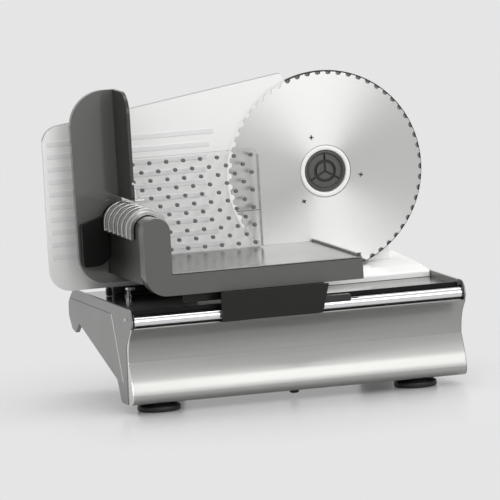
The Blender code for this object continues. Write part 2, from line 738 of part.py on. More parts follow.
MOUNT_Z = DECK_TOP + HOUSING_WALL + 0.0006
CAN_Z = MOUNT_Z + 0.003 + GAP
CAN_TOP = CAN_Z + MOTOR_HEIGHT
ROTOR = (WORM_X, GEAR_MID, 0.0)
add_piece("motor_mount", box((WORM_X - MOTOR_RADIUS, WORM_X + MOTOR_RADIUS), (GEAR_MID - MOTOR_RADIUS,
                             GEAR_MID + MOTOR_RADIUS), (MOUNT_Z, MOUNT_Z + 0.003)), machine, "zinc")
can = [
    (SHAFT_RADIUS + 0.0015, CAN_TOP), (MOTOR_RADIUS - 0.002, CAN_TOP), (MOTOR_RADIUS, CAN_TOP - 0.002),
    (MOTOR_RADIUS, CAN_Z), (SHAFT_RADIUS + 0.0015, CAN_Z),
]
add_piece("motor_can", turned("z", ROTOR, can, 28), machine, "zinc", True)
bearing = [
    (0.0070, CAN_TOP + 0.005), (0.0070, CAN_TOP + GAP), (SHAFT_RADIUS + GAP, CAN_TOP + GAP),
    (SHAFT_RADIUS + GAP, CAN_TOP + 0.005),
]
add_piece("shaft_bearing", turned("z", ROTOR, bearing, 20), machine, "zinc", True)

WORM_LENGTH = 0.030
FAN_Z = BLADE_Z + WORM_LENGTH / 2 + 0.006
worm_profile = [(0.0, FAN_Z + 0.006), (SHAFT_RADIUS, FAN_Z + 0.006), (SHAFT_RADIUS, BLADE_Z + WORM_LENGTH / 2)]
GROOVES = 5
for i in range(GROOVES):
    top = BLADE_Z + WORM_LENGTH / 2 - i * WORM_LENGTH / GROOVES
    worm_profile += [(WORM_RADIUS, top - 0.0010), (WORM_RADIUS, top - 0.0030), (WORM_RADIUS - 0.0015, top - 0.0040)]
worm_profile += [(SHAFT_RADIUS, BLADE_Z - WORM_LENGTH / 2), (SHAFT_RADIUS, CAN_Z + 0.004), (0.0, CAN_Z + 0.004)]
add_piece("rotor_worm", turned("z", ROTOR, worm_profile, 12), rotor, "zinc", True)


def fan_outline():
    """Eight blades on a round boss."""
    points = []
    blades = 8
    for i in range(blades):
        start = 360.0 * i / blades
        points += arc((WORM_X, GEAR_MID), 0.0055, start, start + 22.0, 2)
        points += arc((WORM_X, GEAR_MID), FAN_RADIUS, start + 26.0, start + 40.0, 2)
    return points


fan = add_piece("cooling_fan", outline("z", fan_outline(), FAN_Z, FAN_Z + 0.004), rotor, "black_plastic")
cut(fan, rod("z", ROTOR, SHAFT_RADIUS + GAP, FAN_Z - 0.01, FAN_Z + 0.01, 16))

# Blade and what turns with it.


def blade_outline():
    """A scalloped edge: round gullets between short tips that lie on the full radius."""
    points = []
    pitch = 360.0 / TEETH
    tip = 0.38 * pitch
    for i in range(TEETH):
        start = i * pitch
        points += arc(DRIVE_XZ, BLADE_RADIUS, start, start + tip, 1)
        for share in (0.25, 0.5, 0.75):
            depth = TOOTH_DEPTH * math.sin(math.pi * share)
            points.append(polar(DRIVE_XZ, BLADE_RADIUS - depth, start + tip + share * (pitch - tip)))
    return points


def around(radius, angle):
    """A place on a circle about the blade's axle, the angle in degrees from +X towards +Z."""
    x, z = polar(DRIVE_XZ, radius, angle)
    return (x, 0.0, z)


blade = add_piece("blade", outline("y", blade_outline(), BLADE_FACE, FACE_BACK), spinner, "polished_steel")
join(blade, rod("y", DRIVE, WELL_RADIUS + BLADE_SHEET, BLADE_FACE + 0.0005, BLADE_BACK, 48))
cut(blade, rod("y", DRIVE, WELL_RADIUS, BLADE_FACE - 0.01, BLADE_Y, 48))
cut(blade, rod("y", DRIVE, HUB_HOLE, BLADE_Y - 0.01, BLADE_Y + 0.01, 32))
ring = [
    (HUB_RING_RADIUS, BLADE_Y - GAP), (HUB_RING_RADIUS, BLADE_FACE + 0.0006),
    (HUB_RING_RADIUS - 0.0010, BLADE_FACE - 0.0004), (LOCK_RADIUS + RUN + 0.0010, BLADE_FACE - 0.0004),
    (LOCK_RADIUS + RUN, BLADE_FACE + 0.0008), (LOCK_RADIUS + RUN, BLADE_Y - GAP),
]
add_piece("hub_ring", turned("y", DRIVE, ring, 40), spinner, "white_plastic", True)
for number, angle in enumerate((110.0, 230.0, 350.0), 1):
    head = rod("y", around(SCREW_CIRCLE, angle), SCREW_RADIUS, BLADE_FACE - 0.0012, BLADE_FACE - GAP, 16)
    add_piece("blade_screw_" + str(number), head, spinner, "zinc", True)
CARRIER_BACK = BLADE_BACK + GAP + 0.0028
WELL_ROOM = WELL_RADIUS + BLADE_SHEET + GAP
carrier_profile = [
    (HUB_RADIUS + GAP, CARRIER_BACK), (HUB_RADIUS + GAP, BLADE_BACK + GAP), (WELL_ROOM, BLADE_BACK + GAP),
    (WELL_ROOM, FACE_BACK + GAP), (CARRIER_RADIUS, FACE_BACK + GAP), (CARRIER_RADIUS, CARRIER_BACK),
]
add_piece("blade_carrier", turned("y", DRIVE, carrier_profile, 40), spinner, "dark_plastic", True)


def gear_outline():
    points = []
    pitch = 360.0 / GEAR_TEETH
    for i in range(GEAR_TEETH):
        start = i * pitch
        points += arc(DRIVE_XZ, GEAR_RADIUS, start, start + pitch * 0.35, 1)
        points += arc(DRIVE_XZ, GEAR_RADIUS - 0.002, start + pitch * 0.5, start + pitch * 0.85, 1)
    return points


hub = [
    (HUB_HOLE - GAP, BLADE_Y), (HUB_HOLE - GAP, BLADE_BACK + GAP), (HUB_RADIUS, BLADE_BACK + GAP),
    (HUB_RADIUS, GEAR_Y + GEAR_WIDTH + 0.003), (AXLE_RADIUS + GAP, GEAR_Y + GEAR_WIDTH + 0.003),
    (AXLE_RADIUS + GAP, BLADE_BACK + 0.0009), (0.0, BLADE_BACK + 0.0009), (0.0, BLADE_Y),
]
gear = add_piece("drive_gear", turned("y", DRIVE, hub, 32), spinner, "nylon", True)
wheel = outline("y", gear_outline(), GEAR_Y, GEAR_Y + GEAR_WIDTH)
join(gear, wheel)
cut(gear, rod("y", DRIVE, AXLE_RADIUS + GAP, BLADE_BACK + 0.0009, GEAR_Y + GEAR_WIDTH + 0.01, 32))


def lock_piece():
    """The black lock: a low cap with a round recess and three spokes sunk in its face."""
    face = BLADE_Y - LOCK_HEIGHT
    profile = [
        (0.0, BLADE_Y - GAP), (LOCK_RADIUS, BLADE_Y - GAP), (LOCK_RADIUS, face + 0.0008), (LOCK_RADIUS - 0.0010, face),
        (0.0, face),
    ]
    piece = add_piece("blade_lock", turned("y", DRIVE, profile, 40), lock, "black_plastic", True)
    recess = [(0.0105, face - 0.004), (0.0105, face + 0.0018), (0.0080, face + 0.0018), (0.0080, face - 0.004)]
    cut(piece, turned("y", DRIVE, recess, 32))
    for angle in (90.0, 210.0, 330.0):
        spoke = box((0.0, LOCK_RADIUS - 0.0025), (face - 0.004, face + 0.0015), (-0.0009, 0.0009))
        spoke.transform(Matrix.Translation(DRIVE) @ Matrix.Rotation(-math.radians(angle), 4, "Y"))
        cut(piece, spoke)


lock_piece()

# Controls on the housing.

bezel = add_piece("switch_bezel", box((SWITCH_X - 0.0012 + GAP, SWITCH_X + 0.0020), (SWITCH_Y - 0.008, SWITCH_Y + 0.008),
                                      (SWITCH_Z - 0.013, SWITCH_Z + 0.013)), machine, "black_plastic")
cut(bezel, box((SWITCH_X - 0.01, SWITCH_X + 0.01), (SWITCH_Y - 0.0055, SWITCH_Y + 0.0055),
               (SWITCH_Z - 0.0105, SWITCH_Z + 0.0105)))
rocker_points = [(SWITCH_X + 0.0030, SWITCH_Z - 0.0095), (SWITCH_X + 0.0048, SWITCH_Z - 0.0093),
                 (SWITCH_X + 0.0030, SWITCH_Z), (SWITCH_X + 0.0048, SWITCH_Z + 0.0093),
                 (SWITCH_X + 0.0030, SWITCH_Z + 0.0095), (SWITCH_X - 0.0009, SWITCH_Z)]
add_piece("switch_rocker", outline("y", rocker_points, SWITCH_Y - 0.0050, SWITCH_Y + 0.0050), rocker, "black_plastic")

BUTTON_PROUD = 0.0050
cap = [
    (0.0, BUTTON_Z + BUTTON_PROUD), (0.0055, BUTTON_Z + BUTTON_PROUD), (0.0067, BUTTON_Z + BUTTON_PROUD - 0.0012),
    (0.0067, BUTTON_Z - 0.0060), (0.0, BUTTON_Z - 0.0060),
]
add_piece("lock_button", turned("z", (BUTTON_X, BUTTON_Y, 0.0), cap, 24), button, "black_plastic", True)

# Thickness guide: a ribbed plate on two rods, moved by the knob behind it.


def guide_outline():
    """A tall plate with a slanting top whose right side is hollowed out around the blade."""
    reach = BLADE_RADIUS + GUIDE_HOLLOW_GAP
    rise = (GUIDE_TOP_RIGHT - GUIDE_TOP_LEFT) / (GUIDE_RIGHT - GUIDE_LEFT)
    top_turn = 180.0 - math.degrees(math.acos((BLADE_X - GUIDE_RIGHT + 0.0010) / (reach + 0.0005)))
    foot_turn = 180.0 + math.degrees(math.acos((BLADE_X - GUIDE_FOOT_END) / reach))
    corners = rounded([
        (GUIDE_RIGHT - 0.0010, GUIDE_TOP_RIGHT - rise * 0.001, 0.0030),
        (GUIDE_LEFT, GUIDE_TOP_LEFT, 0.0170),
        (GUIDE_LEFT, GUIDE_BOTTOM, 0.0200),
        (GUIDE_FOOT_END, GUIDE_BOTTOM, 0.0),
    ], 6)
    return corners + arc(DRIVE_XZ, reach, foot_turn, top_turn, 30)


def rib_meshes():
    """Flat ribs across the plate that stop short of the blade on a larger circle."""
    meshes = []
    for i in range(RIB_COUNT):
        z = RIB_TOP - i * RIB_PITCH
        drop = z - BLADE_Z
        right = BLADE_X - math.sqrt(RIB_STOP ** 2 - drop ** 2)
        meshes.append(box((GUIDE_LEFT + 0.004, right), (GUIDE_Y - RIB_PROUD, GUIDE_Y + 0.001),
                          (z - RIB_HEIGHT / 2, z + RIB_HEIGHT / 2)))
    return meshes


plate = add_piece("guide_plate", outline("y", guide_outline(), GUIDE_Y, GUIDE_Y + GUIDE_SHEET), guide, "white_plastic")
join(plate, joined(rib_meshes()))
GUIDE_BACK = GUIDE_Y + GUIDE_SHEET + GAP
BLOCK_Y = GUIDE_BACK + BLOCK_STANDOFF
RUNNER_LOW = DECK_TOP + RUN
yoke = box((KNOB_X - YOKE_HALF, KNOB_X + YOKE_HALF), (GUIDE_BACK, GUIDE_BACK + YOKE_WALL),
           (RUNNER_LOW, KNOB_Z + CARRIER_RISE))
carrier_box = add_piece("guide_carrier", yoke, guide, "black_plastic")
for side in (-1, 1):
    place = (KNOB_X + side * ROD_SPREAD / 2, 0.0, KNOB_Z)
    join(carrier_box, rod("y", place, ROD_RADIUS, GUIDE_BACK + 0.003, BLOCK_Y + BLOCK_DEPTH + 0.006, 16))
block = add_piece("guide_block", box((KNOB_X - BLOCK_HALF, KNOB_X + BLOCK_HALF), (BLOCK_Y, BLOCK_Y + BLOCK_DEPTH),
                                     (DECK_TOP + GAP, KNOB_Z + BLOCK_RISE)), machine, "silver_plastic")
for side in (-1, 1):
    place = (KNOB_X + side * ROD_SPREAD / 2, 0.0, KNOB_Z)
    cut(block, rod("y", place, ROD_RADIUS + GAP, BLOCK_Y - 0.01, BLOCK_Y + BLOCK_DEPTH + 0.01, 24))
cut(block, rod("y", (KNOB_X, 0.0, KNOB_Z), KNOB_AXLE_RADIUS + GAP, BLOCK_Y - 0.01, BLOCK_Y + BLOCK_DEPTH + 0.01, 24))

KNOB_Y = BLOCK_Y + BLOCK_DEPTH + KNOB_STANDOFF


def knob_outline():
    points = []
    lobes = 12
    for i in range(lobes):
        start = 360.0 * i / lobes
        points += arc((KNOB_X, KNOB_Z), KNOB_RADIUS, start, start + 18.0, 2)
        points.append(polar((KNOB_X, KNOB_Z), KNOB_RADIUS - 0.0012, start + 24.0))
    return points


knob = add_piece("thickness_knob", outline("y", knob_outline(), KNOB_Y, KNOB_Y + KNOB_DEPTH), dial, "black_plastic")
join(knob, rod("y", (KNOB_X, 0.0, KNOB_Z), KNOB_AXLE_RADIUS, BLOCK_Y - 0.002, KNOB_Y + 0.004, 16))

POST_Y = GUIDE_Y + 0.0098
post = add_piece("deck_post", box((0.0240, 0.0290), (POST_Y - 0.003, POST_Y + 0.003),
                                  (DECK_TOP + GAP, GUIDE_BOTTOM - RUN)), machine, "black_plastic")
pin_place = (0.0402, GUIDE_Y - 0.0080, 0.0)
pin = add_piece("deck_pin", rod("z", pin_place, 0.0026, DECK_TOP + GAP, GUIDE_BOTTOM - RUN, 16), machine, "chrome", True)
join(pin, box((0.0407, 0.0467), (pin_place[1] - 0.0015, pin_place[1] + 0.0015),
              (GUIDE_BOTTOM - 0.0035, GUIDE_BOTTOM - 0.0010)))

# Carriage: a moulded frame with an upright wall, a steel tray and the shoe that rides the rail.


def frame_outline():
    """Front of the carriage: a round-topped upright on the left and a low bar to the right."""
    right = CARRIAGE_LEFT + WALL_WIDTH
    top = arc((WALL_MID, WALL_ARC_Z), WALL_WIDTH / 2, 180.0, 0.0, 16)
    foot = rounded([
        (right, BAR_TOP, 0.0),
        (CARRIAGE_RIGHT, BAR_TOP, 0.0025),
        (CARRIAGE_RIGHT, BAR_BOTTOM, 0.0040),
        (CARRIAGE_LEFT, BAR_BOTTOM, 0.0200),
        (CARRIAGE_LEFT, WALL_ARC_Z, 0.0),
        (right, WALL_ARC_Z, 0.0),
    ], 5)
    return foot[:-2] + top


def wall_outline():
    """Cross section of the upright wall behind that front, a little slimmer."""
    inset = 0.0002
    radius = WALL_WIDTH / 2 - inset
    return [(WALL_MID - radius, WALL_BOTTOM), (WALL_MID + radius, WALL_BOTTOM)] + arc(
        (WALL_MID, WALL_ARC_Z), radius, 0.0, 180.0, 16)


BAR_BACK = CARRIAGE_FRONT + BAR_DEPTH
frame_piece = add_piece("carriage_frame", outline("y", frame_outline(), CARRIAGE_FRONT, BAR_BACK), carriage,
                        "dark_plastic", True)
join(frame_piece, outline("y", wall_outline(), BAR_BACK - 0.004, CARRIAGE_BACK))
SHELF_LEFT = CARRIAGE_LEFT + WALL_WIDTH - 0.004
join(frame_piece, box((SHELF_LEFT, CARRIAGE_RIGHT - 0.0026), (BAR_BACK - 0.003, CARRIAGE_BACK - 0.001),
                      (SHELF_BOTTOM, BAR_TOP - 0.0007)))
TRAY_LEFT = CARRIAGE_LEFT + WALL_WIDTH + RUN
tray = add_piece("carriage_tray", box((TRAY_LEFT, CARRIAGE_RIGHT), (CARRIAGE_FRONT + RUN, CARRIAGE_BACK),
                                      (TRAY_Z, TRAY_TOP)), carriage, "brushed_steel")
strip = add_piece("tray_edge_strip", box((CARRIAGE_RIGHT - STRIP_WIDTH - 0.0001, CARRIAGE_RIGHT - 0.0001),
                                         (CARRIAGE_FRONT + 0.007, CARRIAGE_BACK),
                                         (TRAY_TOP + GAP, TRAY_TOP + GAP + STRIP_HEIGHT)), carriage, "dark_plastic")

FLANGE_Z = BAR_BOTTOM - GAP
bracket_points = rounded([
    (BRACKET_LEFT, BRACKET_BOTTOM, 0.0010),
    (BRACKET_RIGHT - 0.0077, BRACKET_BOTTOM + 0.0007, 0.0030),
    (BRACKET_RIGHT, FLANGE_Z, 0.0030),
    (BRACKET_LEFT + 0.0005, FLANGE_Z, 0.0030),
], 3)
bracket = add_piece("carriage_bracket", outline("y", bracket_points, BRACKET_FRONT, BRACKET_FRONT + BRACKET_SHEET),
                    carriage, "dark_plastic")
join(bracket, box((BRACKET_LEFT + 0.004, BRACKET_RIGHT - 0.004), (BRACKET_FRONT + 0.001, -0.0080),
                  (FLANGE_Z - 0.0028, FLANGE_Z - 0.0001)))


def shoe_outline():
    """Cross section of the shoe: a block whose underside wraps the top of the rail."""
    front = RAIL_Y - 0.0054
    back = RAIL_Y + 0.0054
    wrap = arc((RAIL_Y, RAIL_Z), RAIL_RADIUS + RUN, 34.0, 146.0, 14)
    top = RAIL_Z + 0.0085
    return [(front, top), (back, top), (back, RAIL_Z + 0.0030)] + wrap + [(front, RAIL_Z + 0.0030)]


shoe = add_piece("rail_shoe", outline("x", shoe_outline(), BRACKET_LEFT + 0.0020, SHOE_END), carriage, "black_plastic",
                 True)
join(shoe, box((BRACKET_LEFT + 0.006, BRACKET_RIGHT - 0.012), (RAIL_Y - 0.0040, RAIL_Y + 0.0040),
               (RAIL_Z + 0.0070, FLANGE_Z - 0.0028 - GAP)))
runner = box((RUNNER_X - RUNNER_HALF_X, RUNNER_X + RUNNER_HALF_X), (RUNNER_Y - RUNNER_HALF_Y, RUNNER_Y + RUNNER_HALF_Y),
             (DECK_TOP + RUN, SHELF_BOTTOM - GAP))
round_runner = add_piece("runner_post", runner, carriage, "black_plastic")
round_edges(round_runner, 0.0015)

# Food pusher: a saddle that slides on the wall, with its guard panel, fin and clear presser plate.

FIN_LEFT = GUARD_PANEL_RIGHT - FIN_WALL - 0.0002
WALL_CENTRE = (WALL_MID, WALL_ARC_Z)
SLIDE_RADIUS = WALL_WIDTH / 2 + 0.0004


def bridge_outline(inner, outer, legs, steps):
    """An upside-down U over the wall."""
    centre_x = WALL_MID
    low = WALL_ARC_Z - legs
    over = arc(WALL_CENTRE, outer, 0.0, 180.0, steps)
    under = arc(WALL_CENTRE, inner, 180.0, 0.0, steps)
    return ([(centre_x + outer, low)] + over + [(centre_x - outer, low), (centre_x - inner, low)] + under
            + [(centre_x + inner, low)])


saddle = add_piece("pusher_saddle", outline("y", bridge_outline(SLIDE_RADIUS, SADDLE_RADIUS, SADDLE_LEGS, 18),
                                            SADDLE_FRONT, SADDLE_BACK), pusher, "silver_plastic", True)
rib_room = SADDLE_BACK - SADDLE_FRONT - 0.012
for i in range(SADDLE_RIBS):
    front_y = SADDLE_FRONT + 0.004 + i * rib_room / (SADDLE_RIBS - 1)
    join(saddle, outline("y", bridge_outline(SLIDE_RADIUS + 0.0015, SADDLE_RADIUS + SADDLE_RIB, SADDLE_LEGS - 0.002, 15),
                         front_y, front_y + 0.004))

COLLAR_Y = SADDLE_BACK + GAP
COLLAR_BACK = GUARD_PANEL_Y - GAP


def collar_shape():
    """The black block beside the wall with its own bridge over the wall's top."""
    block_right = WALL_MID - SLIDE_RADIUS
    corner = rounded([
        (block_right, WALL_ARC_Z, 0.0),
        (-0.0080, WALL_ARC_Z, 0.0030),
        (-0.0080, 0.1270, 0.0030),
        (block_right, 0.1270, 0.0130),
    ], 4)
    over = arc(WALL_CENTRE, SLIDE_RADIUS + 0.0048, 0.0, 160.0, 18)
    under = arc(WALL_CENTRE, SLIDE_RADIUS, 180.0, 0.0, 20)[1:]
    right = WALL_MID + SLIDE_RADIUS
    legs = [(right, WALL_ARC_Z - SADDLE_LEGS), (right + 0.0048, WALL_ARC_Z - SADDLE_LEGS)]
    return corner[1:] + corner[:1] + under + legs + over


add_piece("pusher_collar", outline("y", collar_shape(), COLLAR_Y, COLLAR_BACK), pusher, "black_plastic", True)


def guard_panel_outline():
    """Tall shield: rounded on the left, notched on the right to pass over the wall and under the tray."""
    window = WALL_MID - SLIDE_RADIUS
    lip_top = WALL_BOTTOM - 0.0005
    edge = math.degrees(math.acos((GUARD_PANEL_RIGHT - WALL_MID) / SLIDE_RADIUS))
    lower = rounded([
        (window, WALL_ARC_Z, 0.0),
        (window, lip_top, 0.0),
        (LIP_RIGHT, lip_top, 0.0020),
        (LIP_RIGHT, GUARD_PANEL_BOTTOM, 0.0030),
        (GUARD_PANEL_LEFT + 0.0016, GUARD_PANEL_BOTTOM, 0.0250),
        (GUARD_PANEL_LEFT, GUARD_PANEL_TOP, 0.0330),
        (GUARD_PANEL_RIGHT, GUARD_PANEL_TOP, 0.0015),
    ], 8)
    return lower + arc(WALL_CENTRE, SLIDE_RADIUS, edge, 180.0, 12)[:-1]


shield = add_piece("pusher_guard", outline("y", guard_panel_outline(), GUARD_PANEL_Y, GUARD_PANEL_Y + GUARD_PANEL_WALL),
                   pusher, "dark_plastic", True)
fin_points = rounded([
    (FIN_FRONT, FIN_BOTTOM, 0.0030),
    (GUARD_PANEL_Y + 0.0020, FIN_BOTTOM, 0.0),
    (GUARD_PANEL_Y + 0.0020, GUARD_PANEL_TOP - 0.0002, 0.0),
    (FIN_FRONT, GUARD_PANEL_TOP - 0.0002, 0.0200),
], 6)
join(shield, outline("x", fin_points, FIN_LEFT, FIN_LEFT + FIN_WALL))

PRESSER_LEFT = GUARD_PANEL_RIGHT + 0.0020
BESIDE_WALL = WALL_MID + WALL_WIDTH / 2 + 0.0010
presser_points = rounded([
    (BESIDE_WALL, PRESSER_BOTTOM, 0.0),
    (PRESSER_RIGHT, PRESSER_BOTTOM, 0.0010),
    (PRESSER_RIGHT, PRESSER_TOP, 0.0050),
    (PRESSER_LEFT, PRESSER_TOP, 0.0),
    (PRESSER_LEFT, WALL_TOP + 0.0070, 0.0),
    (BESIDE_WALL, WALL_TOP + 0.0070, 0.0),
], 4)
presser = add_piece("presser_plate", outline("y", presser_points, PRESSER_Y, PRESSER_Y + PRESSER_WALL), pusher,
                    "clear_plastic")
join(presser, box((PRESSER_LEFT - 0.0015, PRESSER_LEFT + 0.0005), (FIN_FRONT + 0.016, PRESSER_Y + 0.0010),
                  (FIN_BOTTOM + 0.001, PRESSER_TOP - 0.001)))
join(presser, box((PRESSER_RIGHT - 0.0020, PRESSER_RIGHT - 0.0002), (PRESSER_Y - 0.0060, PRESSER_Y + 0.0010),
                  (PRESSER_BOTTOM + 0.001, PRESSER_TOP - 0.005)))


def hole_rods():
    """Staggered rows of small round holes across the plate."""
    made = []
    for row in range(11):
        z = HOLE_TOP - row * HOLE_PITCH_Z
        first = HOLE_RIGHT - (HOLE_PITCH_X / 2 if row % 2 else 0.0)
        for column in range(8):
            x = first - column * HOLE_PITCH_X
            left = BESIDE_WALL if z < WALL_TOP + 0.010 else PRESSER_LEFT
            if x - PRESSER_HOLE > left + 0.0020 and x + PRESSER_HOLE < PRESSER_RIGHT - 0.0021:
                made.append(rod("y", (x, 0.0, z), PRESSER_HOLE, PRESSER_Y - 0.004, PRESSER_Y + 0.008, 6))
    return made


cut(presser, joined(hole_rods()))

clip_x = FIN_LEFT + FIN_WALL + GAP
clip = add_piece("presser_clip", box((clip_x, clip_x + 0.0014), (FIN_FRONT + 0.0010, FIN_FRONT + 0.0090),
                                     (0.1885, 0.1985)), pusher, "zinc")
join(clip, box((clip_x + 0.0004, clip_x + 0.0090), (FIN_FRONT + 0.0011, FIN_FRONT + 0.0089), (0.1880, 0.1896)))
add_piece("presser_screw", rod("z", (clip_x + 0.0052, FIN_FRONT + 0.0050, 0.0), 0.0026, 0.1896 + GAP, 0.1918, 14),
          pusher, "zinc", True)
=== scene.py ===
"""Household electric slicer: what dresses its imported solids, in the order in which it is put together.

Sizes are in metres from the base's left front corner on the table; ORIGIN moves them to the frame's own
origin, under the middle of the whole machine.
"""
import math

import bmesh
import bpy
from mathutils import Euler, Matrix, Vector


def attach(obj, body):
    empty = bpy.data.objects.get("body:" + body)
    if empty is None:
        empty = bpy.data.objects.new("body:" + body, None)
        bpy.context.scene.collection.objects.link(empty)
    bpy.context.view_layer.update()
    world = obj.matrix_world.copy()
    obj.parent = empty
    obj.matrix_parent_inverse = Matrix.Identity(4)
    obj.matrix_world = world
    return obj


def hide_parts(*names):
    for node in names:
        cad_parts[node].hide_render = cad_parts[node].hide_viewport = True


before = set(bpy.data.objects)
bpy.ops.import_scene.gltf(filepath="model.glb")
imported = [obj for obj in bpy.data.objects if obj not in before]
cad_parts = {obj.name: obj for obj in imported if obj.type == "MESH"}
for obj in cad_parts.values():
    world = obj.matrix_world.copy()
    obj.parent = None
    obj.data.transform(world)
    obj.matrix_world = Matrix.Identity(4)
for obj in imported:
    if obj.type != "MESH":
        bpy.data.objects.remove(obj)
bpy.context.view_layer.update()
ORIGIN = Vector((0.1509, 0.0914, 0.0))


# Studio

# A pale seamless table under soft lamps, and the camera at the photograph's place. None of this
# belongs to the machine.

CAMERA_AIM = Vector((0.176, 0.08, 0.139))
CAMERA_DISTANCE = 8.333
CAMERA_TURN = math.radians(-15.75)
CAMERA_LIFT = math.radians(6.53)
CAMERA_ROLL = math.radians(-3.32)
CAMERA_LENS = 648.0
AIM_RIGHT = 0.0277
AIM_UP = 0.00975
FLOOR_SIZE = 30.0
TABLE_GREY = (0.71, 0.71, 0.71)
TABLE_GLOSS = 0.26
FADE_START = 0.16
FADE_END = 0.42
BACKDROP = (0.785, 0.785, 0.785, 1.0)
ROOM_LIGHT = 1.2
ROOM_GREYS = (0.62, 0.9)
LEFT_SHARE = 0.28
RIGHT_SHARE = 1.25


def new_material(name, colour, alpha=1.0):
    """An empty node material, and its tree."""
    made = bpy.data.materials.new(name)
    made.use_nodes = True
    made.node_tree.nodes.clear()
    made.diffuse_color = (*colour, alpha)
    return made, made.node_tree


def grow(tree, kind, links=None, **settings):
    """A node with its settings, its inputs linked or set by name or index; a list fills one in turn."""
    node = tree.nodes.new(kind)
    for key, value in settings.items():
        setattr(node, key, value)
    for socket, values in (links or {}).items():
        for value in values if isinstance(values, list) else [values]:
            if isinstance(value, bpy.types.Node):
                value = value.outputs[0]
            value = getattr(value, "socket", value)
            if isinstance(value, bpy.types.NodeSocket):
                tree.links.new(value, node.inputs[socket])
            else:
                node.inputs[socket].default_value = value
    return node


class Number:
    """A number that a tree works out: plain sums with it grow the nodes for them."""

    def __init__(self, tree, socket):
        self.tree = tree
        self.socket = socket

    def by(self, operation, *others):
        links = dict(enumerate((self, *others)))
        return Number(self.tree, grow(self.tree, "ShaderNodeMath", links, operation=operation).outputs[0])

    def __add__(self, other):
        return self.by("ADD", other)

    def __sub__(self, other):
        return self.by("SUBTRACT", other)

    def __rsub__(self, other):
        return self * -1.0 + other

    def __mul__(self, other):
        return self.by("MULTIPLY", other)

    def __truediv__(self, other):
        return self.by("DIVIDE", other)


def parts(tree, vector):
    """The three numbers of a place or a direction."""
    return [Number(tree, part) for part in grow(tree, "ShaderNodeSeparateXYZ", {0: vector}).outputs]


def xyz(tree, x=0.0, y=0.0, z=0.0):
    return grow(tree, "ShaderNodeCombineXYZ", {0: x, 1: y, 2: z})


def place_camera():
    back = Vector((math.sin(CAMERA_TURN) * math.cos(CAMERA_LIFT),
        -math.cos(CAMERA_TURN) * math.cos(CAMERA_LIFT), math.sin(CAMERA_LIFT)))
    level = Vector((math.cos(CAMERA_TURN), math.sin(CAMERA_TURN), 0.0))
    upright = back.cross(level)
    right = math.cos(CAMERA_ROLL) * level + math.sin(CAMERA_ROLL) * upright
    up = -math.sin(CAMERA_ROLL) * level + math.cos(CAMERA_ROLL) * upright
    aim = CAMERA_AIM - ORIGIN - AIM_RIGHT * right - AIM_UP * up
    data = bpy.data.cameras.new("camera")
    data.lens = CAMERA_LENS
    data.sensor_width = 36.0
    data.clip_end = 100.0
    camera = bpy.data.objects.new("camera", data)
    bpy.context.scene.collection.objects.link(camera)
    turn = Matrix((right, up, back)).transposed().to_4x4()
    camera.matrix_world = Matrix.Translation(aim + CAMERA_DISTANCE * back) @ turn
    bpy.context.scene.camera = camera


place_camera()


def seen_rays(tree):
    """One for what the camera sees straight, mirrored or through something clear; nought for plain light."""
    rays = grow(tree, "ShaderNodeLightPath")
    found = Number(tree, rays.outputs["Is Camera Ray"])
    for kind in ("Is Glossy Ray", "Is Transmission Ray"):
        found = found.by("MAXIMUM", rays.outputs[kind])
    return found


def table_material():
    """Pale satin table with the machine's shadow and a faint reflection, fading to a plain backdrop."""
    made, tree = new_material("table", TABLE_GREY)
    table = grow(tree, "ShaderNodeBsdfPrincipled",
        {"Base Color": (*TABLE_GREY, 1.0), "Roughness": TABLE_GLOSS, "Specular IOR Level": 0.35})
    place = grow(tree, "ShaderNodeTexCoord").outputs["Object"]
    reach = grow(tree, "ShaderNodeVectorMath", {0: place}, operation="LENGTH").outputs["Value"]
    fade = grow(tree, "ShaderNodeMapRange", {"Value": reach, "From Min": FADE_START, "From Max": FADE_END,
        "To Min": 0.1}, interpolation_type="SMOOTHSTEP")
    plain = grow(tree, "ShaderNodeEmission", {"Color": BACKDROP})
    mix = grow(tree, "ShaderNodeMixShader", {0: seen_rays(tree) * fade, 1: table, 2: plain})
    grow(tree, "ShaderNodeOutputMaterial", {0: mix})
    return made


def add_floor():
    mesh = bpy.data.meshes.new("table")
    shape = bmesh.new()
    bmesh.ops.create_grid(shape, x_segments=1, y_segments=1, size=FLOOR_SIZE / 2)
    shape.to_mesh(mesh)
    shape.free()
    floor = bpy.data.objects.new("table", mesh)
    bpy.context.scene.collection.objects.link(floor)
    mesh.materials.append(table_material())


add_floor()


def add_lamp(name, place, aim, size, power):
    """A soft rectangular lamp at a place, turned to face its aim."""
    data = bpy.data.lights.new(name, "AREA")
    data.shape = "RECTANGLE"
    data.size, data.size_y = size
    data.energy = power
    lamp = bpy.data.objects.new(name, data)
    bpy.context.scene.collection.objects.link(lamp)
    lamp.location = Vector(place)
    lamp.rotation_euler = (Vector(place) - Vector(aim)).to_track_quat("Z", "Y").to_euler()


add_lamp("lamp_top", (0.1, 0.2, 2.2), (0.0, 0.0, 0.1), (1.6, 1.0), 13.0)
add_lamp("lamp_left", (-1.1, -2.0, 1.4), (0.0, 0.0, 0.15), (0.9, 0.9), 5.0)
add_lamp("lamp_front", (0.6, -2.0, 0.86), (0.0, 0.0, 0.12), (1.3, 0.95), 11.5)


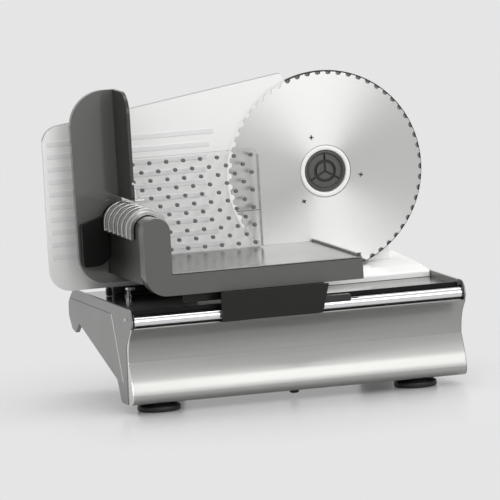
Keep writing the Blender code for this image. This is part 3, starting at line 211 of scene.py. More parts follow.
def light_the_room():
    """Grey room light, paler overhead and to the right, in front of a plain pale backdrop."""
    world = bpy.data.worlds.new("studio")
    world.use_nodes = True
    tree = world.node_tree
    tree.nodes.clear()
    x, _, z = parts(tree, grow(tree, "ShaderNodeTexCoord").outputs["Generated"])
    ramp = grow(tree, "ShaderNodeValToRGB", {0: z})
    for element, height, grey in zip(ramp.color_ramp.elements, (0.0, 0.6), ROOM_GREYS):
        element.position = height
        element.color = (grey, grey, grey, 1.0)
    sides = grow(tree, "ShaderNodeMapRange", {"Value": x, "From Min": -1.0, "To Min": LEFT_SHARE,
        "To Max": RIGHT_SHARE})
    dimmed = grow(tree, "ShaderNodeMix", {"Factor": 1.0, "A": ramp, "B": sides}, data_type="RGBA",
        blend_type="MULTIPLY")
    room = grow(tree, "ShaderNodeBackground", {"Color": dimmed.outputs["Result"], "Strength": ROOM_LIGHT})
    backdrop = grow(tree, "ShaderNodeBackground", {"Color": BACKDROP})
    mix = grow(tree, "ShaderNodeMixShader", {0: seen_rays(tree), 1: room, 2: backdrop})
    grow(tree, "ShaderNodeOutputWorld", {0: mix})
    bpy.context.scene.world = world


light_the_room()
bpy.context.scene.view_settings.view_transform = "Standard"


# End caps

# Two moulded end caps in silver-grey plastic close the base left and right. Each has a bevelled top edge,
# a flat facet at its front corner and one cross-head screw that holds the steel between them.

BASE_LENGTH = 0.321
CAP_WALL = 0.004
NOSE_WALL = 0.0022
CAP_TOP = 0.0985
CAP_DEPTH = 0.195
CAP_FRONT = -0.0277


def polar(centre, radius, angle):
    """A point on a circle, its angle in degrees."""
    turn = math.radians(angle)
    return (centre[0] + radius * math.cos(turn), centre[1] + radius * math.sin(turn))


def arc(centre, radius, start, end, steps):
    return [polar(centre, radius, start + (end - start) * i / steps) for i in range(steps + 1)]


def rounded(corners, steps=8):
    """A closed outline through (a, b, radius) corners, each rounded to its radius."""
    points = []
    for i, (a, b, radius) in enumerate(corners):
        here = Vector((a, b))
        before = (Vector(corners[i - 1][:2]) - here).normalized()
        after = (Vector(corners[(i + 1) % len(corners)][:2]) - here).normalized()
        if radius <= 0.0:
            points.append((a, b))
            continue
        half = before.angle(after) / 2
        middle = here + (before + after).normalized() * radius / math.sin(half)
        first = here + before * radius / math.tan(half) - middle
        last = here + after * radius / math.tan(half) - middle
        turn = first.angle_signed(last)
        for k in range(steps + 1):
            points.append(tuple(middle + Matrix.Rotation(-turn * k / steps, 2) @ first))
    return points


LAID = {"x": (2, 0, 1), "y": (0, 2, 1), "z": (0, 1, 2)}


def laid(axis, a, b, along):
    """A point given across and along an axis, as x, y and z."""
    return [(a, b, along)[i] for i in LAID[axis]]


def closed_mesh(shape):
    """The shape as a mesh, its faces turned outward."""
    bmesh.ops.recalc_face_normals(shape, faces=shape.faces)
    mesh = bpy.data.meshes.new("shape")
    shape.to_mesh(mesh)
    shape.free()
    return mesh


def slab(axis, points, low, high):
    """A flat outline given thickness along an axis: (y, z), (x, z) or (x, y) points."""
    shape = bmesh.new()
    face = shape.faces.new([shape.verts.new(laid(axis, a, b, low)) for a, b in points])
    pushed = bmesh.ops.extrude_face_region(shape, geom=[face])
    moved = [item for item in pushed["geom"] if isinstance(item, bmesh.types.BMVert)]
    bmesh.ops.translate(shape, verts=moved, vec=laid(axis, 0.0, 0.0, high - low))
    return closed_mesh(shape)


def block(x, y, z):
    return slab("z", [(x[0], y[0]), (x[1], y[0]), (x[1], y[1]), (x[0], y[1])], z[0], z[1])


def spun(axis, centre, profile, steps=96):
    """A closed (radius, height) profile turned about a line through centre, along an axis."""
    shape = bmesh.new()
    rings = []
    for i in range(steps):
        turn = 2 * math.pi * i / steps
        places = [(r * math.cos(turn), r * math.sin(turn), height) for r, height in profile]
        rings.append([shape.verts.new(laid(axis, *place)) for place in places])
    for i, ring in enumerate(rings):
        following = rings[(i + 1) % steps]
        for k in range(len(profile)):
            after = (k + 1) % len(profile)
            shape.faces.new((ring[k], ring[after], following[after], following[k]))
    bmesh.ops.remove_doubles(shape, verts=shape.verts, dist=1e-7)
    bmesh.ops.dissolve_degenerate(shape, dist=1e-7, edges=shape.edges)
    bmesh.ops.translate(shape, verts=shape.verts, vec=centre)
    return closed_mesh(shape)


def bar(axis, centre, radius, low, high, steps=48, edge=0.0):
    """A round bar along an axis, its end edges broken by the edge's width."""
    rim = [(radius, low), (radius, high)]
    if edge > 0.0:
        rim = [(radius - edge, low), (radius, low + edge), (radius, high - edge), (radius - edge, high)]
    return spun(axis, centre, [(0.0, low), *rim, (0.0, high)], steps)


def together(meshes):
    """Several closed shapes in one mesh."""
    shape = bmesh.new()
    for mesh in meshes:
        shape.from_mesh(mesh)
        bpy.data.meshes.remove(mesh)
    mesh = bpy.data.meshes.new("together")
    shape.to_mesh(mesh)
    shape.free()
    return mesh


def start(name, mesh):
    """A new piece whose mesh is still to be cut or edged."""
    piece = bpy.data.objects.new(name, mesh)
    bpy.context.scene.collection.objects.link(piece)
    return piece


def shape_with(piece, mesh, operation):
    tool = start("tool", mesh)
    step = piece.modifiers.new(operation, "BOOLEAN")
    step.operation = operation
    step.object = tool
    step.solver = "EXACT"
    bake(piece)
    bpy.data.objects.remove(tool, do_unlink=True)


def bake(piece):
    """Applies the piece's modifiers to its mesh."""
    graph = bpy.context.evaluated_depsgraph_get()
    graph.update()
    mesh = bpy.data.meshes.new_from_object(piece.evaluated_get(graph))
    piece.modifiers.clear()
    old = piece.data
    piece.data = mesh
    bpy.data.meshes.remove(old)


def cut(piece, *meshes):
    """Takes shapes out of the piece, one after the other."""
    for mesh in meshes:
        shape_with(piece, mesh, "DIFFERENCE")


def join(piece, *meshes):
    """Puts shapes on the piece, one after the other."""
    for mesh in meshes:
        shape_with(piece, mesh, "UNION")


def soften(piece, width, segments=3, angle=40.0):
    """Broken or rounded edges of one width."""
    edge = piece.modifiers.new("edges", "BEVEL")
    edge.width = width
    edge.segments = segments
    edge.limit_method = "ANGLE"
    edge.angle_limit = math.radians(angle)
    edge.use_clamp_overlap = True
    bake(piece)


def fit(piece, body, finish, slot, *nodes, smooth=30.0):
    """Finishes a piece: its shading, its place in the frame, its finish and what it stands for."""
    piece.data.materials.clear()
    piece.data.materials.append(finish)
    for face in piece.data.polygons:
        face.material_index = 0
    piece.data.shade_smooth()
    piece.data.set_sharp_from_angle(angle=math.radians(smooth))
    weigh = piece.modifiers.new("normals", "WEIGHTED_NORMAL")
    weigh.keep_sharp = True
    bake(piece)
    piece.data.transform(Matrix.Translation(-ORIGIN))
    piece.data.name = piece.name
    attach(piece, body)
    if nodes:
        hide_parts(*nodes)
    return piece


def make(name, mesh, edge, body, finish, slot, *nodes, smooth=30.0):
    """A piece of one plain shape, its edges softened by the edge's width, segments and angle, if any."""
    piece = start(name, mesh)
    if edge:
        soften(piece, *edge)
    return fit(piece, body, finish, slot, *nodes, smooth=smooth)


def paint(piece, finish, where):
    """A second finish on the faces that the test picks by their middle and their normal."""
    piece.data.materials.append(finish)
    for face in piece.data.polygons:
        if where(face.center + ORIGIN, face.normal):
            face.material_index = 1


def cut_plane(mesh, point, normal):
    """Removes what lies on the normal's side of a plane and closes the cut."""
    shape = bmesh.new()
    shape.from_mesh(mesh)
    bpy.data.meshes.remove(mesh)
    everything = shape.verts[:] + shape.edges[:] + shape.faces[:]
    result = bmesh.ops.bisect_plane(shape, geom=everything, plane_co=point, plane_no=normal,
        clear_outer=True)
    rim = [item for item in result["geom_cut"] if isinstance(item, bmesh.types.BMEdge)]
    bmesh.ops.contextual_create(shape, geom=rim)
    return closed_mesh(shape)


def at_right_end(piece):
    """Mirrors the piece to the base's other end."""
    mesh = piece.data
    mesh.transform(Matrix.Translation((BASE_LENGTH, 0.0, 0.0)) @ Matrix.Scale(-1.0, 4, (1.0, 0.0, 0.0)))
    shape = bmesh.new()
    shape.from_mesh(mesh)
    piece.data = closed_mesh(shape)


PATCH_SCALE = 14.0
GLOSS_PLAY = 2.2
TINT_PLAY = 0.25
GRAIN_DEPTH = 0.0001


def noise(tree, where, size, detail, rough=0.5):
    """A soft random field of one grain size."""
    links = {"Vector": where, "Scale": size, "Detail": detail, "Roughness": rough}
    return Number(tree, grow(tree, "ShaderNodeTexNoise", links).outputs["Fac"])


def tinted(tree, field, colour, low, high):
    """The colour times low to high, as the field goes."""
    dark, pale = [(*[min(1.0, value * share) for value in colour], 1.0) for share in (low, high)]
    mix = grow(tree, "ShaderNodeMix", {"Factor": field, "A": dark, "B": pale}, data_type="RGBA")
    return mix.outputs["Result"]


def between(tree, field, low, high):
    return grow(tree, "ShaderNodeMapRange", {"Value": field, "To Min": low, "To Max": high})


def relief(tree, field, strength, depth):
    return grow(tree, "ShaderNodeBump", {"Height": field, "Strength": strength, "Distance": depth})


def shaded(made, links):
    """The material, closed with one shader."""
    tree = made.node_tree
    grow(tree, "ShaderNodeOutputMaterial", {0: grow(tree, "ShaderNodeBsdfPrincipled", links)})
    return made


def surface(name, colour, roughness, metallic=0.0, speck=0.0, speck_size=900.0, uneven=0.08, bump=0.0,
        bump_size=1400.0, coat=0.0, specular=0.5):
    """A procedural finish: colour and gloss that vary a little over the piece, with a fine grain."""
    made, tree = new_material(name, colour)
    place = grow(tree, "ShaderNodeTexCoord").outputs["Object"]
    patches = noise(tree, place, PATCH_SCALE, 4.0)
    grain = noise(tree, place, speck_size, 3.0)
    play = speck + uneven * TINT_PLAY
    links = {"Base Color": tinted(tree, grain, colour, 1.0 - play, 1.0 + play),
        "Roughness": between(tree, patches, max(0.02, roughness * (1.0 - GLOSS_PLAY * uneven)),
            roughness * (1.0 + GLOSS_PLAY * uneven)),
        "Metallic": metallic, "Coat Weight": coat, "Specular IOR Level": specular}
    if bump > 0.0:
        links["Normal"] = relief(tree, noise(tree, place, bump_size, 2.0), bump, GRAIN_DEPTH)
    return shaded(made, links)


def cap_outline():
    return rounded([(0.0, 0.009, 0.0015), (0.0215, 0.009, 0.006), (0.033, 0.029, 0.008),
        (CAP_DEPTH - 0.036, 0.0678, 0.003), (CAP_DEPTH - 0.022, 0.058, 0.003),
        (CAP_DEPTH - 0.01, 0.0605, 0.004), (CAP_DEPTH, 0.0725, 0.003),
        (CAP_DEPTH - 0.0008, CAP_TOP - 0.014, 0.004), (CAP_DEPTH - 0.015, CAP_TOP, 0.003),
        (CAP_FRONT + 0.006, CAP_TOP, 0.006), (CAP_FRONT, 0.085, 0.006), (-0.0048, 0.064, 0.012),
        (-0.0018, 0.033, 0.02)], 8)


def cap_mesh():
    mesh = slab("x", cap_outline(), 0.0, CAP_WALL)
    mesh = cut_plane(mesh, (0.0016, 0.0, CAP_TOP), (-0.009, 0.0, 0.0016))
    return cut_plane(mesh, (0.0, 0.0406, CAP_TOP - 0.009), (-0.06, -0.00064, 0.00031))


silver_plastic = surface("silver_plastic", (0.235, 0.235, 0.23), 0.3, metallic=0.45, speck=0.05,
    speck_size=2600.0, uneven=0.1, bump=0.1, bump_size=2400.0)
for side in ("left", "right"):
    cap = start("cap_shell_" + side, cap_mesh())
    soften(cap, 0.0007, 3, 22.0)
    cut(cap, block((NOSE_WALL, CAP_WALL + 0.01), (-0.05, -0.0111), (0.0795, CAP_TOP + 0.01)))
    if side == "right":
        at_right_end(cap)
    fit(cap, "base", silver_plastic, "silver_plastic", "end_cap_" + side, smooth=24.0)


# Painted highlight and shadow: a thin near-white bar along the front facet's crease stands in for the light
# caught there, and a thin near-black bar along the top chamfer's crease stands in for the shade in it.
cap_ridge = surface("cap_ridge", (0.92, 0.92, 0.91), 0.25, metallic=0.1, speck=0.03, speck_size=1500.0)
cap_groove = surface("cap_groove", (0.035, 0.035, 0.033), 0.5, speck=0.05, speck_size=1500.0)
RIDGE_TOP = (0.0002, 0.0406, CAP_TOP - 0.0092)
RIDGE_FOOT = (0.0002, 0.0113, 0.029)
CHAMFER_CREASE_BACK = (0.0002, 0.185, CAP_TOP - 0.009)


def crease_bar(first, last, radius):
    """A thin round bar along a crease of the cap."""
    run = Vector(last) - Vector(first)
    mesh = bar("z", (0.0, 0.0, 0.0), radius, 0.0, run.length, 16, radius * 0.4)
    mesh.transform(Matrix.Translation(first) @ run.to_track_quat("Z", "Y").to_matrix().to_4x4())
    return mesh


for side in ("left", "right"):
    for name, first, last, radius, finish in (("cap_ridge_", RIDGE_FOOT, RIDGE_TOP, 0.0006, cap_ridge),
            ("cap_groove_", RIDGE_TOP, CHAMFER_CREASE_BACK, 0.00035, cap_groove)):
        crease = start(name + side, crease_bar(first, last, radius))
        if side == "right":
            at_right_end(crease)
        fit(crease, "base", finish, "silver_plastic")


# Fasteners

# Zinc plated pan-head screws with a cross recess: one node tree makes the head and its recess, at the
# size and place of each screw.

ZERO = (0.0, 0.0, 0.0)


def tree_for(name, defaults):
    """An empty geometry tree with these named sizes, and the sizes as numbers to work with."""
    tree = bpy.data.node_groups.new(name, "GeometryNodeTree")
    kinds = {int: "NodeSocketInt", float: "NodeSocketFloat", tuple: "NodeSocketVector"}
    for size, value in defaults.items():
        made = tree.interface.new_socket(name=size, in_out="INPUT", socket_type=kinds[type(value)])
        made.default_value = value
    tree.interface.new_socket(name="Geometry", in_out="OUTPUT", socket_type="NodeSocketGeometry")
    sizes = tree.nodes.new("NodeGroupInput")
    return tree, [Number(tree, sizes.outputs[size]) for size in defaults]


def end_tree(tree, geometry, finish):
    """The tree, closed: its shape made real and given a finish."""
    real = grow(tree, "GeometryNodeRealizeInstances", {0: geometry})
    grow(tree, "NodeGroupOutput",
        {0: grow(tree, "GeometryNodeSetMaterial", {0: real, "Material": finish})})
    return tree


def run_tree(name, tree, values):
    """A piece made by the tree with these named sizes, already a plain mesh."""
    piece = start(name, bpy.data.meshes.new(name))
    step = piece.modifiers.new("shape", "NODES")
    step.node_group = tree
    for item in tree.interface.items_tree:
        if item.item_type == "SOCKET" and item.in_out == "INPUT" and item.name in values:
            step[item.identifier] = values[item.name]
    bake(piece)
    return piece


def cut_by_tree(piece, tree, values):
    """Takes the tree's shape out of the piece."""
    cutter = run_tree("cutter", tree, values)
    mesh = cutter.data.copy()
    bpy.data.objects.remove(cutter, do_unlink=True)
    shape_with(piece, mesh, "DIFFERENCE")


zinc = surface("zinc_plate", (0.66, 0.66, 0.65), 0.26, metallic=1.0, speck=0.05, speck_size=1500.0,
    uneven=0.12)


def screw_tree():
    """A domed head with a cross sunk in it, standing on its place and turned as asked."""
    tree, (radius, height, place, turn) = tree_for("screw_head",
        {"Radius": 0.003, "Height": 0.0012, "Place": ZERO, "Turn": ZERO})
    drum = grow(tree, "GeometryNodeMeshCylinder", {"Vertices": 40, "Side Segments": 6, "Fill Segments": 6,
        "Radius": radius, "Depth": height})
    x, y, z = parts(tree, grow(tree, "GeometryNodeInputPosition"))
    share = (x * x + y * y).by("SQRT") / radius
    fall = 1.0 - share.by("POWER", 4.0) * 0.55
    upper = z.by("GREATER_THAN", 0.0)
    lowered = upper * fall + (1.0 - upper)
    dome = grow(tree, "GeometryNodeSetPosition", {0: drum, "Position": xyz(tree, x, y, z * lowered)})
    arm, slot = radius * 1.15, radius * 0.26
    arms = [grow(tree, "GeometryNodeMeshCube", {"Size": xyz(tree, *sides, height)})
        for sides in ((arm, slot), (slot, arm))]
    cross = grow(tree, "GeometryNodeMeshBoolean", {1: arms}, operation="UNION")
    raised = grow(tree, "GeometryNodeTransform", {0: cross, "Translation": xyz(tree, z=height * 0.52)})
    sunk = grow(tree, "GeometryNodeMeshBoolean", {0: dome, 1: raised}, operation="DIFFERENCE")
    base = grow(tree, "GeometryNodeTransform", {0: sunk, "Translation": xyz(tree, z=height * 0.5)})
    turned = grow(tree, "FunctionNodeEulerToRotation", {0: turn})
    return end_tree(tree,
        grow(tree, "GeometryNodeTransform", {0: base, "Translation": place, "Rotation": turned}), zinc)


SCREWS = screw_tree()
FACING = {"-x": (0.0, -math.pi / 2, 0.0), "+x": (0.0, math.pi / 2, 0.0), "+y": (-math.pi / 2, 0.0, 0.0),
    "+z": (0.0, 0.0, 0.3)}
bright_zinc = surface("bright_zinc", (0.98, 0.98, 0.98), 0.3, speck=0.02, speck_size=1500.0, uneven=0.06)
# Painted shade: the faces inside each cross recess take this near-black finish, standing in for the shade in
# the recess.
recess = surface("screw_recess", (0.06, 0.06, 0.058), 0.45, speck=0.05, speck_size=1500.0)


def add_screw(name, place, facing, radius, height, body, *nodes, finish=zinc):
    """A screw head seated at a place, its cross recess painted near-black as painted shade."""
    turn = Euler(FACING.get(facing, facing))
    outward = turn.to_matrix() @ Vector((0.0, 0.0, 1.0))

    def sunk(middle, normal):
        away = middle - Vector(place)
        return away.dot(outward) < 0.8 * height and away.cross(outward).length < 0.62 * radius

    piece = run_tree(name, SCREWS, {"Radius": radius, "Height": height, "Place": place,
        "Turn": tuple(turn)})
    fit(piece, body, finish, "zinc", *nodes, smooth=40.0)
    paint(piece, recess, sunk)


for side, x, facing in (("left", 0.0002, "-x"), ("right", BASE_LENGTH - 0.0002, "+x")):
    place = (x, -0.0109, 0.0889)
    add_screw("cap_screw_head_" + side, place, facing, 0.0022, 0.0015, "base", "cap_screw_" + side,
        finish=bright_zinc)


# Front panel

# One bent sheet of stainless steel, brushed along its length: it rolls under at the foot, draws in at the
# waist and comes forward again to carry the rail in a channel.

PANEL_INSET = 0.0015
PANEL_SHEET = 0.0012
RAIL_Y = -0.02
RAIL_Z = 0.087
RAIL_RADIUS = 0.0052
RAIL_END = 0.0025
DECK_TOP = 0.093


def through(points, steps=6):
    """Points on a smooth curve through the given points."""
    made = []
    for i in range(len(points) - 1):
        before = Vector(points[max(i - 1, 0)])
        first = Vector(points[i])
        second = Vector(points[i + 1])
        after = Vector(points[min(i + 2, len(points) - 1)])
        for k in range(steps):
            t = k / steps
            bend = 2 * before - 5 * first + 4 * second - after
            twist = 3 * first - before - 3 * second + after
            made.append(tuple(0.5 * (2 * first + (second - before) * t + bend * t * t + twist * t ** 3)))
    return made + [tuple(points[-1])]


def walled(line, wall):
    """A line with one wall thickness laid to its right, as a closed outline."""
    inner = []
    for i, (a, b) in enumerate(line):
        before = Vector(line[max(i - 1, 0)])
        after = Vector(line[min(i + 1, len(line) - 1)])
        along_line = (after - before).normalized()
        inner.append((a + along_line[1] * wall, b - along_line[0] * wall))
    return list(line) + inner[::-1]


def skin_line():
    channel = RAIL_Z - RAIL_RADIUS - 0.0003
    roll = through([(-0.002, 0.009), (-0.011, 0.0099), (-0.016, 0.0127), (-0.0175, 0.0163),
        (-0.0172, 0.0205), (-0.0161, 0.0255), (-0.0145, 0.0308), (-0.011, 0.0383), (-0.006, 0.0482)], 8)
    rise = through([(-0.006, 0.0482), (-0.0071, 0.0545), (-0.0094, 0.062), (-0.0133, 0.069),
        (-0.0188, 0.075), (-0.0222, 0.078), (-0.0249, channel - 0.0009)], 8)
    return roll + rise[1:]


def channel_line():
    channel = RAIL_Z - RAIL_RADIUS - 0.0003
    behind = RAIL_Y + RAIL_RADIUS + 0.0009
    return [(-0.0225, channel - 0.0006), (-0.0212, channel - 0.0003), (behind - 0.001, channel - 0.0002),
        (behind - 0.0003, channel + 0.0001), (behind, channel + 0.001), (behind, DECK_TOP - 0.0015)]


STREAK_SCALE = (8.0, 2400.0)
BAND_SCALE = (3.0, 160.0)
STEEL_GLOSS_PLAY = 0.24


def brushed(name, colour, roughness, along, fine=1.0, spin=0.5, streak=0.1):
    """Steel drawn in one direction: long thin streaks in its colour, its gloss and its relief."""
    made, tree = new_material(name, colour)
    place = grow(tree, "ShaderNodeTexCoord").outputs["Object"]

    def drawn(length, width, detail, rough):
        scale = tuple(length if i == along else width for i in range(3))
        return noise(tree, grow(tree, "ShaderNodeMapping", {0: place, "Scale": scale}), 1.0, detail,
            rough)

    lines = drawn(STREAK_SCALE[0], STREAK_SCALE[1] * fine, 4.0, 0.65)
    both = lines * 0.6 + drawn(*BAND_SCALE, 3.0, 0.5) * 0.4
    return shaded(made, {"Metallic": 1.0, "Anisotropic": spin,
        "Base Color": tinted(tree, both, colour, 1.0 - streak, 1.0 + streak),
        "Roughness": between(tree, both, roughness * (1.0 - STEEL_GLOSS_PLAY),
            roughness * (1.0 + STEEL_GLOSS_PLAY)),
        "Normal": relief(tree, lines, 0.12, 0.00005)})


panel_steel = brushed("panel_steel", (0.36, 0.36, 0.35), 0.34, along=0)
CAP_INNER = CAP_WALL + 0.0003
panel = make("front_skin",
    together([slab("x", walled(skin_line(), PANEL_SHEET), PANEL_INSET, BASE_LENGTH - PANEL_INSET),
        slab("x", walled(channel_line(), PANEL_SHEET), CAP_INNER, BASE_LENGTH - CAP_INNER)]),
    None, "base", panel_steel, "brushed_steel", "front_panel", smooth=28.0)
# Painted highlight: the left end flange takes a paler steel than the panel it closes, standing in for the
# bright line along the nose; the right flange takes the caps' darker silver plastic.
flange_painted_highlight = brushed("flange_painted_highlight", (0.74, 0.74, 0.73), 0.2, along=2)
for side in ("left", "right"):
    flange = start("panel_flange_" + side,
        slab("x", skin_line() + [(-0.001, 0.0806), (0.001, 0.0095)], 0.0008, PANEL_INSET))
    if side == "right":
        at_right_end(flange)
    soften(flange, 0.0006, 3, 60.0)
    fit(flange, "base", flange_painted_highlight if side == "left" else silver_plastic, "brushed_steel", smooth=60.0)


# Deck and bottom pan

# The deck is a flat polished steel sheet that the carriage's runner slides on; under it a folded black pan
# closes the base from the front feet to the rear.

deck_steel = brushed("deck_steel", (0.22, 0.22, 0.215), 0.16, along=0, fine=0.8, spin=0.3, streak=0.05)
deck_line = rounded([(-0.0126, DECK_TOP - 0.0012, 0.0004), (0.188, DECK_TOP - 0.0012, 0.0),
    (0.188, DECK_TOP, 0.0), (-0.0114, DECK_TOP, 0.0008), (-0.0114, DECK_TOP + 0.0034, 0.0005),
    (-0.0126, DECK_TOP + 0.0034, 0.0005)], 6)
deck = make("deck_sheet", slab("x", deck_line, CAP_INNER, BASE_LENGTH - CAP_INNER), None, "base",
    deck_steel, "polished_steel", "deck")

black_plastic = surface("black_plastic", (0.01, 0.01, 0.009), 0.38, speck=0.1, speck_size=1800.0,
    bump=0.2, bump_size=1800.0)
# Near-black with little gloss: the pusher collar's colour, and painted shade where it is put on the deck and
# panel below.
black_and_painted_shade = surface("black_and_painted_shade", (0.005, 0.005, 0.0045), 0.45, speck=0.1, speck_size=1800.0,
    specular=0.15)
# Painted shade: the deck's lip and the panel's channel faces above the rail take the near-black finish,
# standing in for the shade in the gap behind the rail.
paint(deck, black_and_painted_shade, lambda middle, normal: (middle.y < -0.0109 and middle.z > DECK_TOP - 0.002
    and normal.y < -0.3))
paint(panel, black_and_painted_shade, lambda middle, normal: (middle.z > RAIL_Z - RAIL_RADIUS + 0.0008
    and normal.y < -0.3))
pan_line = through([(0.0005, 0.013), (0.0005, 0.0094)], 1) + [(0.0225, 0.0093), (0.0345, 0.032),
    (0.139, 0.066), (0.15, 0.07), (0.188, 0.07), (0.188, 0.0915)]
make("base_pan", slab("x", walled(pan_line, -0.002), CAP_INNER, BASE_LENGTH - CAP_INNER),
    (0.0005, 2, 30.0), "base", black_plastic, "black_plastic", "bottom_pan")


# Rail

# A chromed steel rod along the front that carries the carriage, held at both ends by a black grommet against
# the end caps.

chrome = surface("chrome", (0.72, 0.72, 0.73), 0.16, metallic=1.0, speck=0.004, speck_size=120.0,
    uneven=0.02)
make("chrome_rail", bar("x", (0.0, RAIL_Y, RAIL_Z), RAIL_RADIUS, RAIL_END, BASE_LENGTH - RAIL_END, 96,
    0.0004), None, "base", chrome, "chrome", "slide_rail")


GROMMET_SHEET = 0.0012


def grommet_outline():
    low = RAIL_Z - RAIL_RADIUS + 0.0005
    front = RAIL_Y - RAIL_RADIUS - 0.002
    back = RAIL_Y + RAIL_RADIUS + 0.0005
    top = RAIL_Z + 0.0075
    hole = arc((RAIL_Y, RAIL_Z), RAIL_RADIUS + 0.0003, -50.0, 230.0, 40)
    return ([(front, low)] + arc((front + 0.003, top - 0.003), 0.003, 180.0, 90.0, 6)
        + arc((back - 0.002, top - 0.002), 0.002, 90.0, 0.0, 6) + [(back, low)] + hole)


for side, low in (("left", RAIL_END), ("right", BASE_LENGTH - RAIL_END - GROMMET_SHEET)):
    make("rail_grommet_" + side, slab("x", grommet_outline(), low, low + GROMMET_SHEET),
        (0.0002, 2, 60.0), "base", black_plastic, "black_plastic", "rail_collar_" + side)


# Feet and legs

# Four soft rubber cups carry the machine. The front pair sits under the pan; the rear pair is on two tapered
# black legs. A small stud at mid length keeps the pan off the table.

rubber = surface("foot_rubber", (0.012, 0.012, 0.012), 0.52, speck=0.15, speck_size=700.0, bump=0.25,
    bump_size=1200.0)
FOOT_RADIUS = 0.02
FOOT_PLACES = {"front_left": (0.033, 0.014), "front_right": (0.279, 0.014), "rear_left": (0.082, 0.168),
    "rear_right": (0.288, 0.168)}


def foot_profile():
    """A cup with a lip, a waist groove and a soft sole."""
    return [(0.0, 0.009), (0.0125, 0.009), (0.014, 0.0088), (0.0158, 0.008), (0.017, 0.0068),
        (0.0176, 0.006), (0.019, 0.0056), (0.0198, 0.0047), (FOOT_RADIUS, 0.0034), (0.0199, 0.0016),
        (0.0193, 0.0005), (0.0185, 0.0), (0.015, 0.0), (0.0145, 0.0006), (0.011, 0.0006), (0.0105, 0.0),
        (0.0, 0.0)]


for name, (x, y) in FOOT_PLACES.items():
    make("rubber_foot_" + name, spun("z", (x, y, 0.0), foot_profile(), 72), None, "base", rubber,
        "rubber", "foot_" + name, smooth=40.0)
for side in ("left", "right"):
    x, y = FOOT_PLACES["rear_" + side]
    leg_profile = [(0.0, 0.0697), (0.0132, 0.0697), (0.014, 0.069), (0.0148, 0.05), (0.0158, 0.03),
        (0.0163, 0.018), (0.017, 0.0165), (0.017, 0.01), (0.0164, 0.0093), (0.0, 0.0093)]
    make("support_leg_" + side, spun("z", (x, y, 0.0), leg_profile, 72), None, "base", black_plastic,
        "black_plastic", "rear_leg_" + side, smooth=40.0)
make("pan_stud", spun("z", (0.162, 0.012, 0.0), [(0.0, 0.009), (0.0045, 0.009), (0.0045, 0.0062),
    (0.0038, 0.005), (0.0022, 0.0045), (0.0, 0.0045)], 48), None, "base", black_plastic, "black_plastic",
    "middle_stud")


# Motor housing, skirt and rear cover

# White glossy mouldings: an arched shell over the motor, its vented cover screwed on behind and a sloping
# skirt in front that is hollowed out under the blade.

BLADE_X = 0.2387
BLADE_Z = 0.193
BLADE_RADIUS = 0.0932
HOUSING_RADIUS = 0.062
HOUSING_WALL = 0.0025
BUTTON_Y = 0.1733
HOUSING_Y = 0.1433
HOUSING_BACK = 0.1953
COVER_Y = 0.1956
COVER_BACK = 0.2056
AXLE = (BLADE_X, 0.0, BLADE_Z)
AXLE_XZ = (BLADE_X, BLADE_Z)

white_plastic = surface("white_plastic", (0.93, 0.93, 0.92), 0.3, speck=0.02, speck_size=1500.0,
    uneven=0.06, bump=0.05, bump_size=1600.0, coat=0.15)


def arch(inset, corner):
    radius = HOUSING_RADIUS - inset
    bottom = DECK_TOP + 0.0003 + inset
    foot = rounded([(BLADE_X - radius, BLADE_Z, 0.0), (BLADE_X - radius, bottom, corner),
        (BLADE_X + radius, bottom, corner), (BLADE_X + radius, BLADE_Z, 0.0)], 6)
    return foot[1:-1] + arc(AXLE_XZ, radius, 0.0, 180.0, 72)


housing = start("housing_shell", slab("y", arch(0.0, 0.004), HOUSING_Y, HOUSING_BACK))
soften(housing, 0.0012, 3, 50.0)
cut(housing, slab("y", arch(HOUSING_WALL, 0.002), HOUSING_Y + HOUSING_WALL, HOUSING_BACK + 0.01),
    bar("y", AXLE, 0.016, HOUSING_Y - 0.01, HOUSING_Y + 0.01, 64),
    bar("z", (BLADE_X, BUTTON_Y, 0.0), 0.0072, 0.24, 0.27, 48))
fit(housing, "base", white_plastic, "white_plastic", "motor_housing")


def vent_tree():
    """A column of slots with round ends, cut through the cover."""
    tree, (rows, pitch, length, slot, begin) = tree_for("vent_slots",
        {"Rows": 9, "Pitch": 0.0065, "Length": 0.054, "Slot": 0.003, "Start": ZERO})
    deep = 0.02
    middle = grow(tree, "GeometryNodeMeshCube", {"Size": xyz(tree, length, deep, slot)})
    end = grow(tree, "GeometryNodeMeshCylinder", {"Vertices": 16, "Radius": slot * 0.5, "Depth": deep})
    lying = grow(tree, "GeometryNodeTransform", {0: end, "Rotation": (math.pi / 2, 0.0, 0.0)})
    ends = [grow(tree, "GeometryNodeTransform", {0: lying, "Translation": xyz(tree, length * share)})
        for share in (0.5, -0.5)]
    whole = grow(tree, "GeometryNodeMeshBoolean", {1: [middle, *ends]}, operation="UNION")
    column = grow(tree, "GeometryNodeMeshLine", {"Count": rows, "Start Location": begin,
        "Offset": xyz(tree, z=pitch)})
    return end_tree(tree, grow(tree, "GeometryNodeInstanceOnPoints",
        {"Points": column, "Instance": whole}), white_plastic)


cover = start("housing_cover", slab("y", arch(0.0, 0.004), COVER_Y, COVER_BACK))
soften(cover, 0.003, 5, 50.0)
cut(cover, slab("y", arch(HOUSING_WALL, 0.002), COVER_Y - 0.01, COVER_BACK - HOUSING_WALL))
cut_by_tree(cover, vent_tree(), {"Rows": 7, "Pitch": 0.008, "Length": 0.05, "Slot": 0.003,
    "Start": (BLADE_X, COVER_BACK, 0.1645)})
fit(cover, "base", white_plastic, "white_plastic", "rear_cover")
for number, (x, z) in enumerate(((-0.05, 0.108), (0.05, 0.108), (-0.04, 0.228), (0.04, 0.228)), 1):
    add_screw("cover_screw_" + str(number), (BLADE_X + x, COVER_BACK + 0.0002, z), "+y", 0.0034, 0.0016,
        "base")

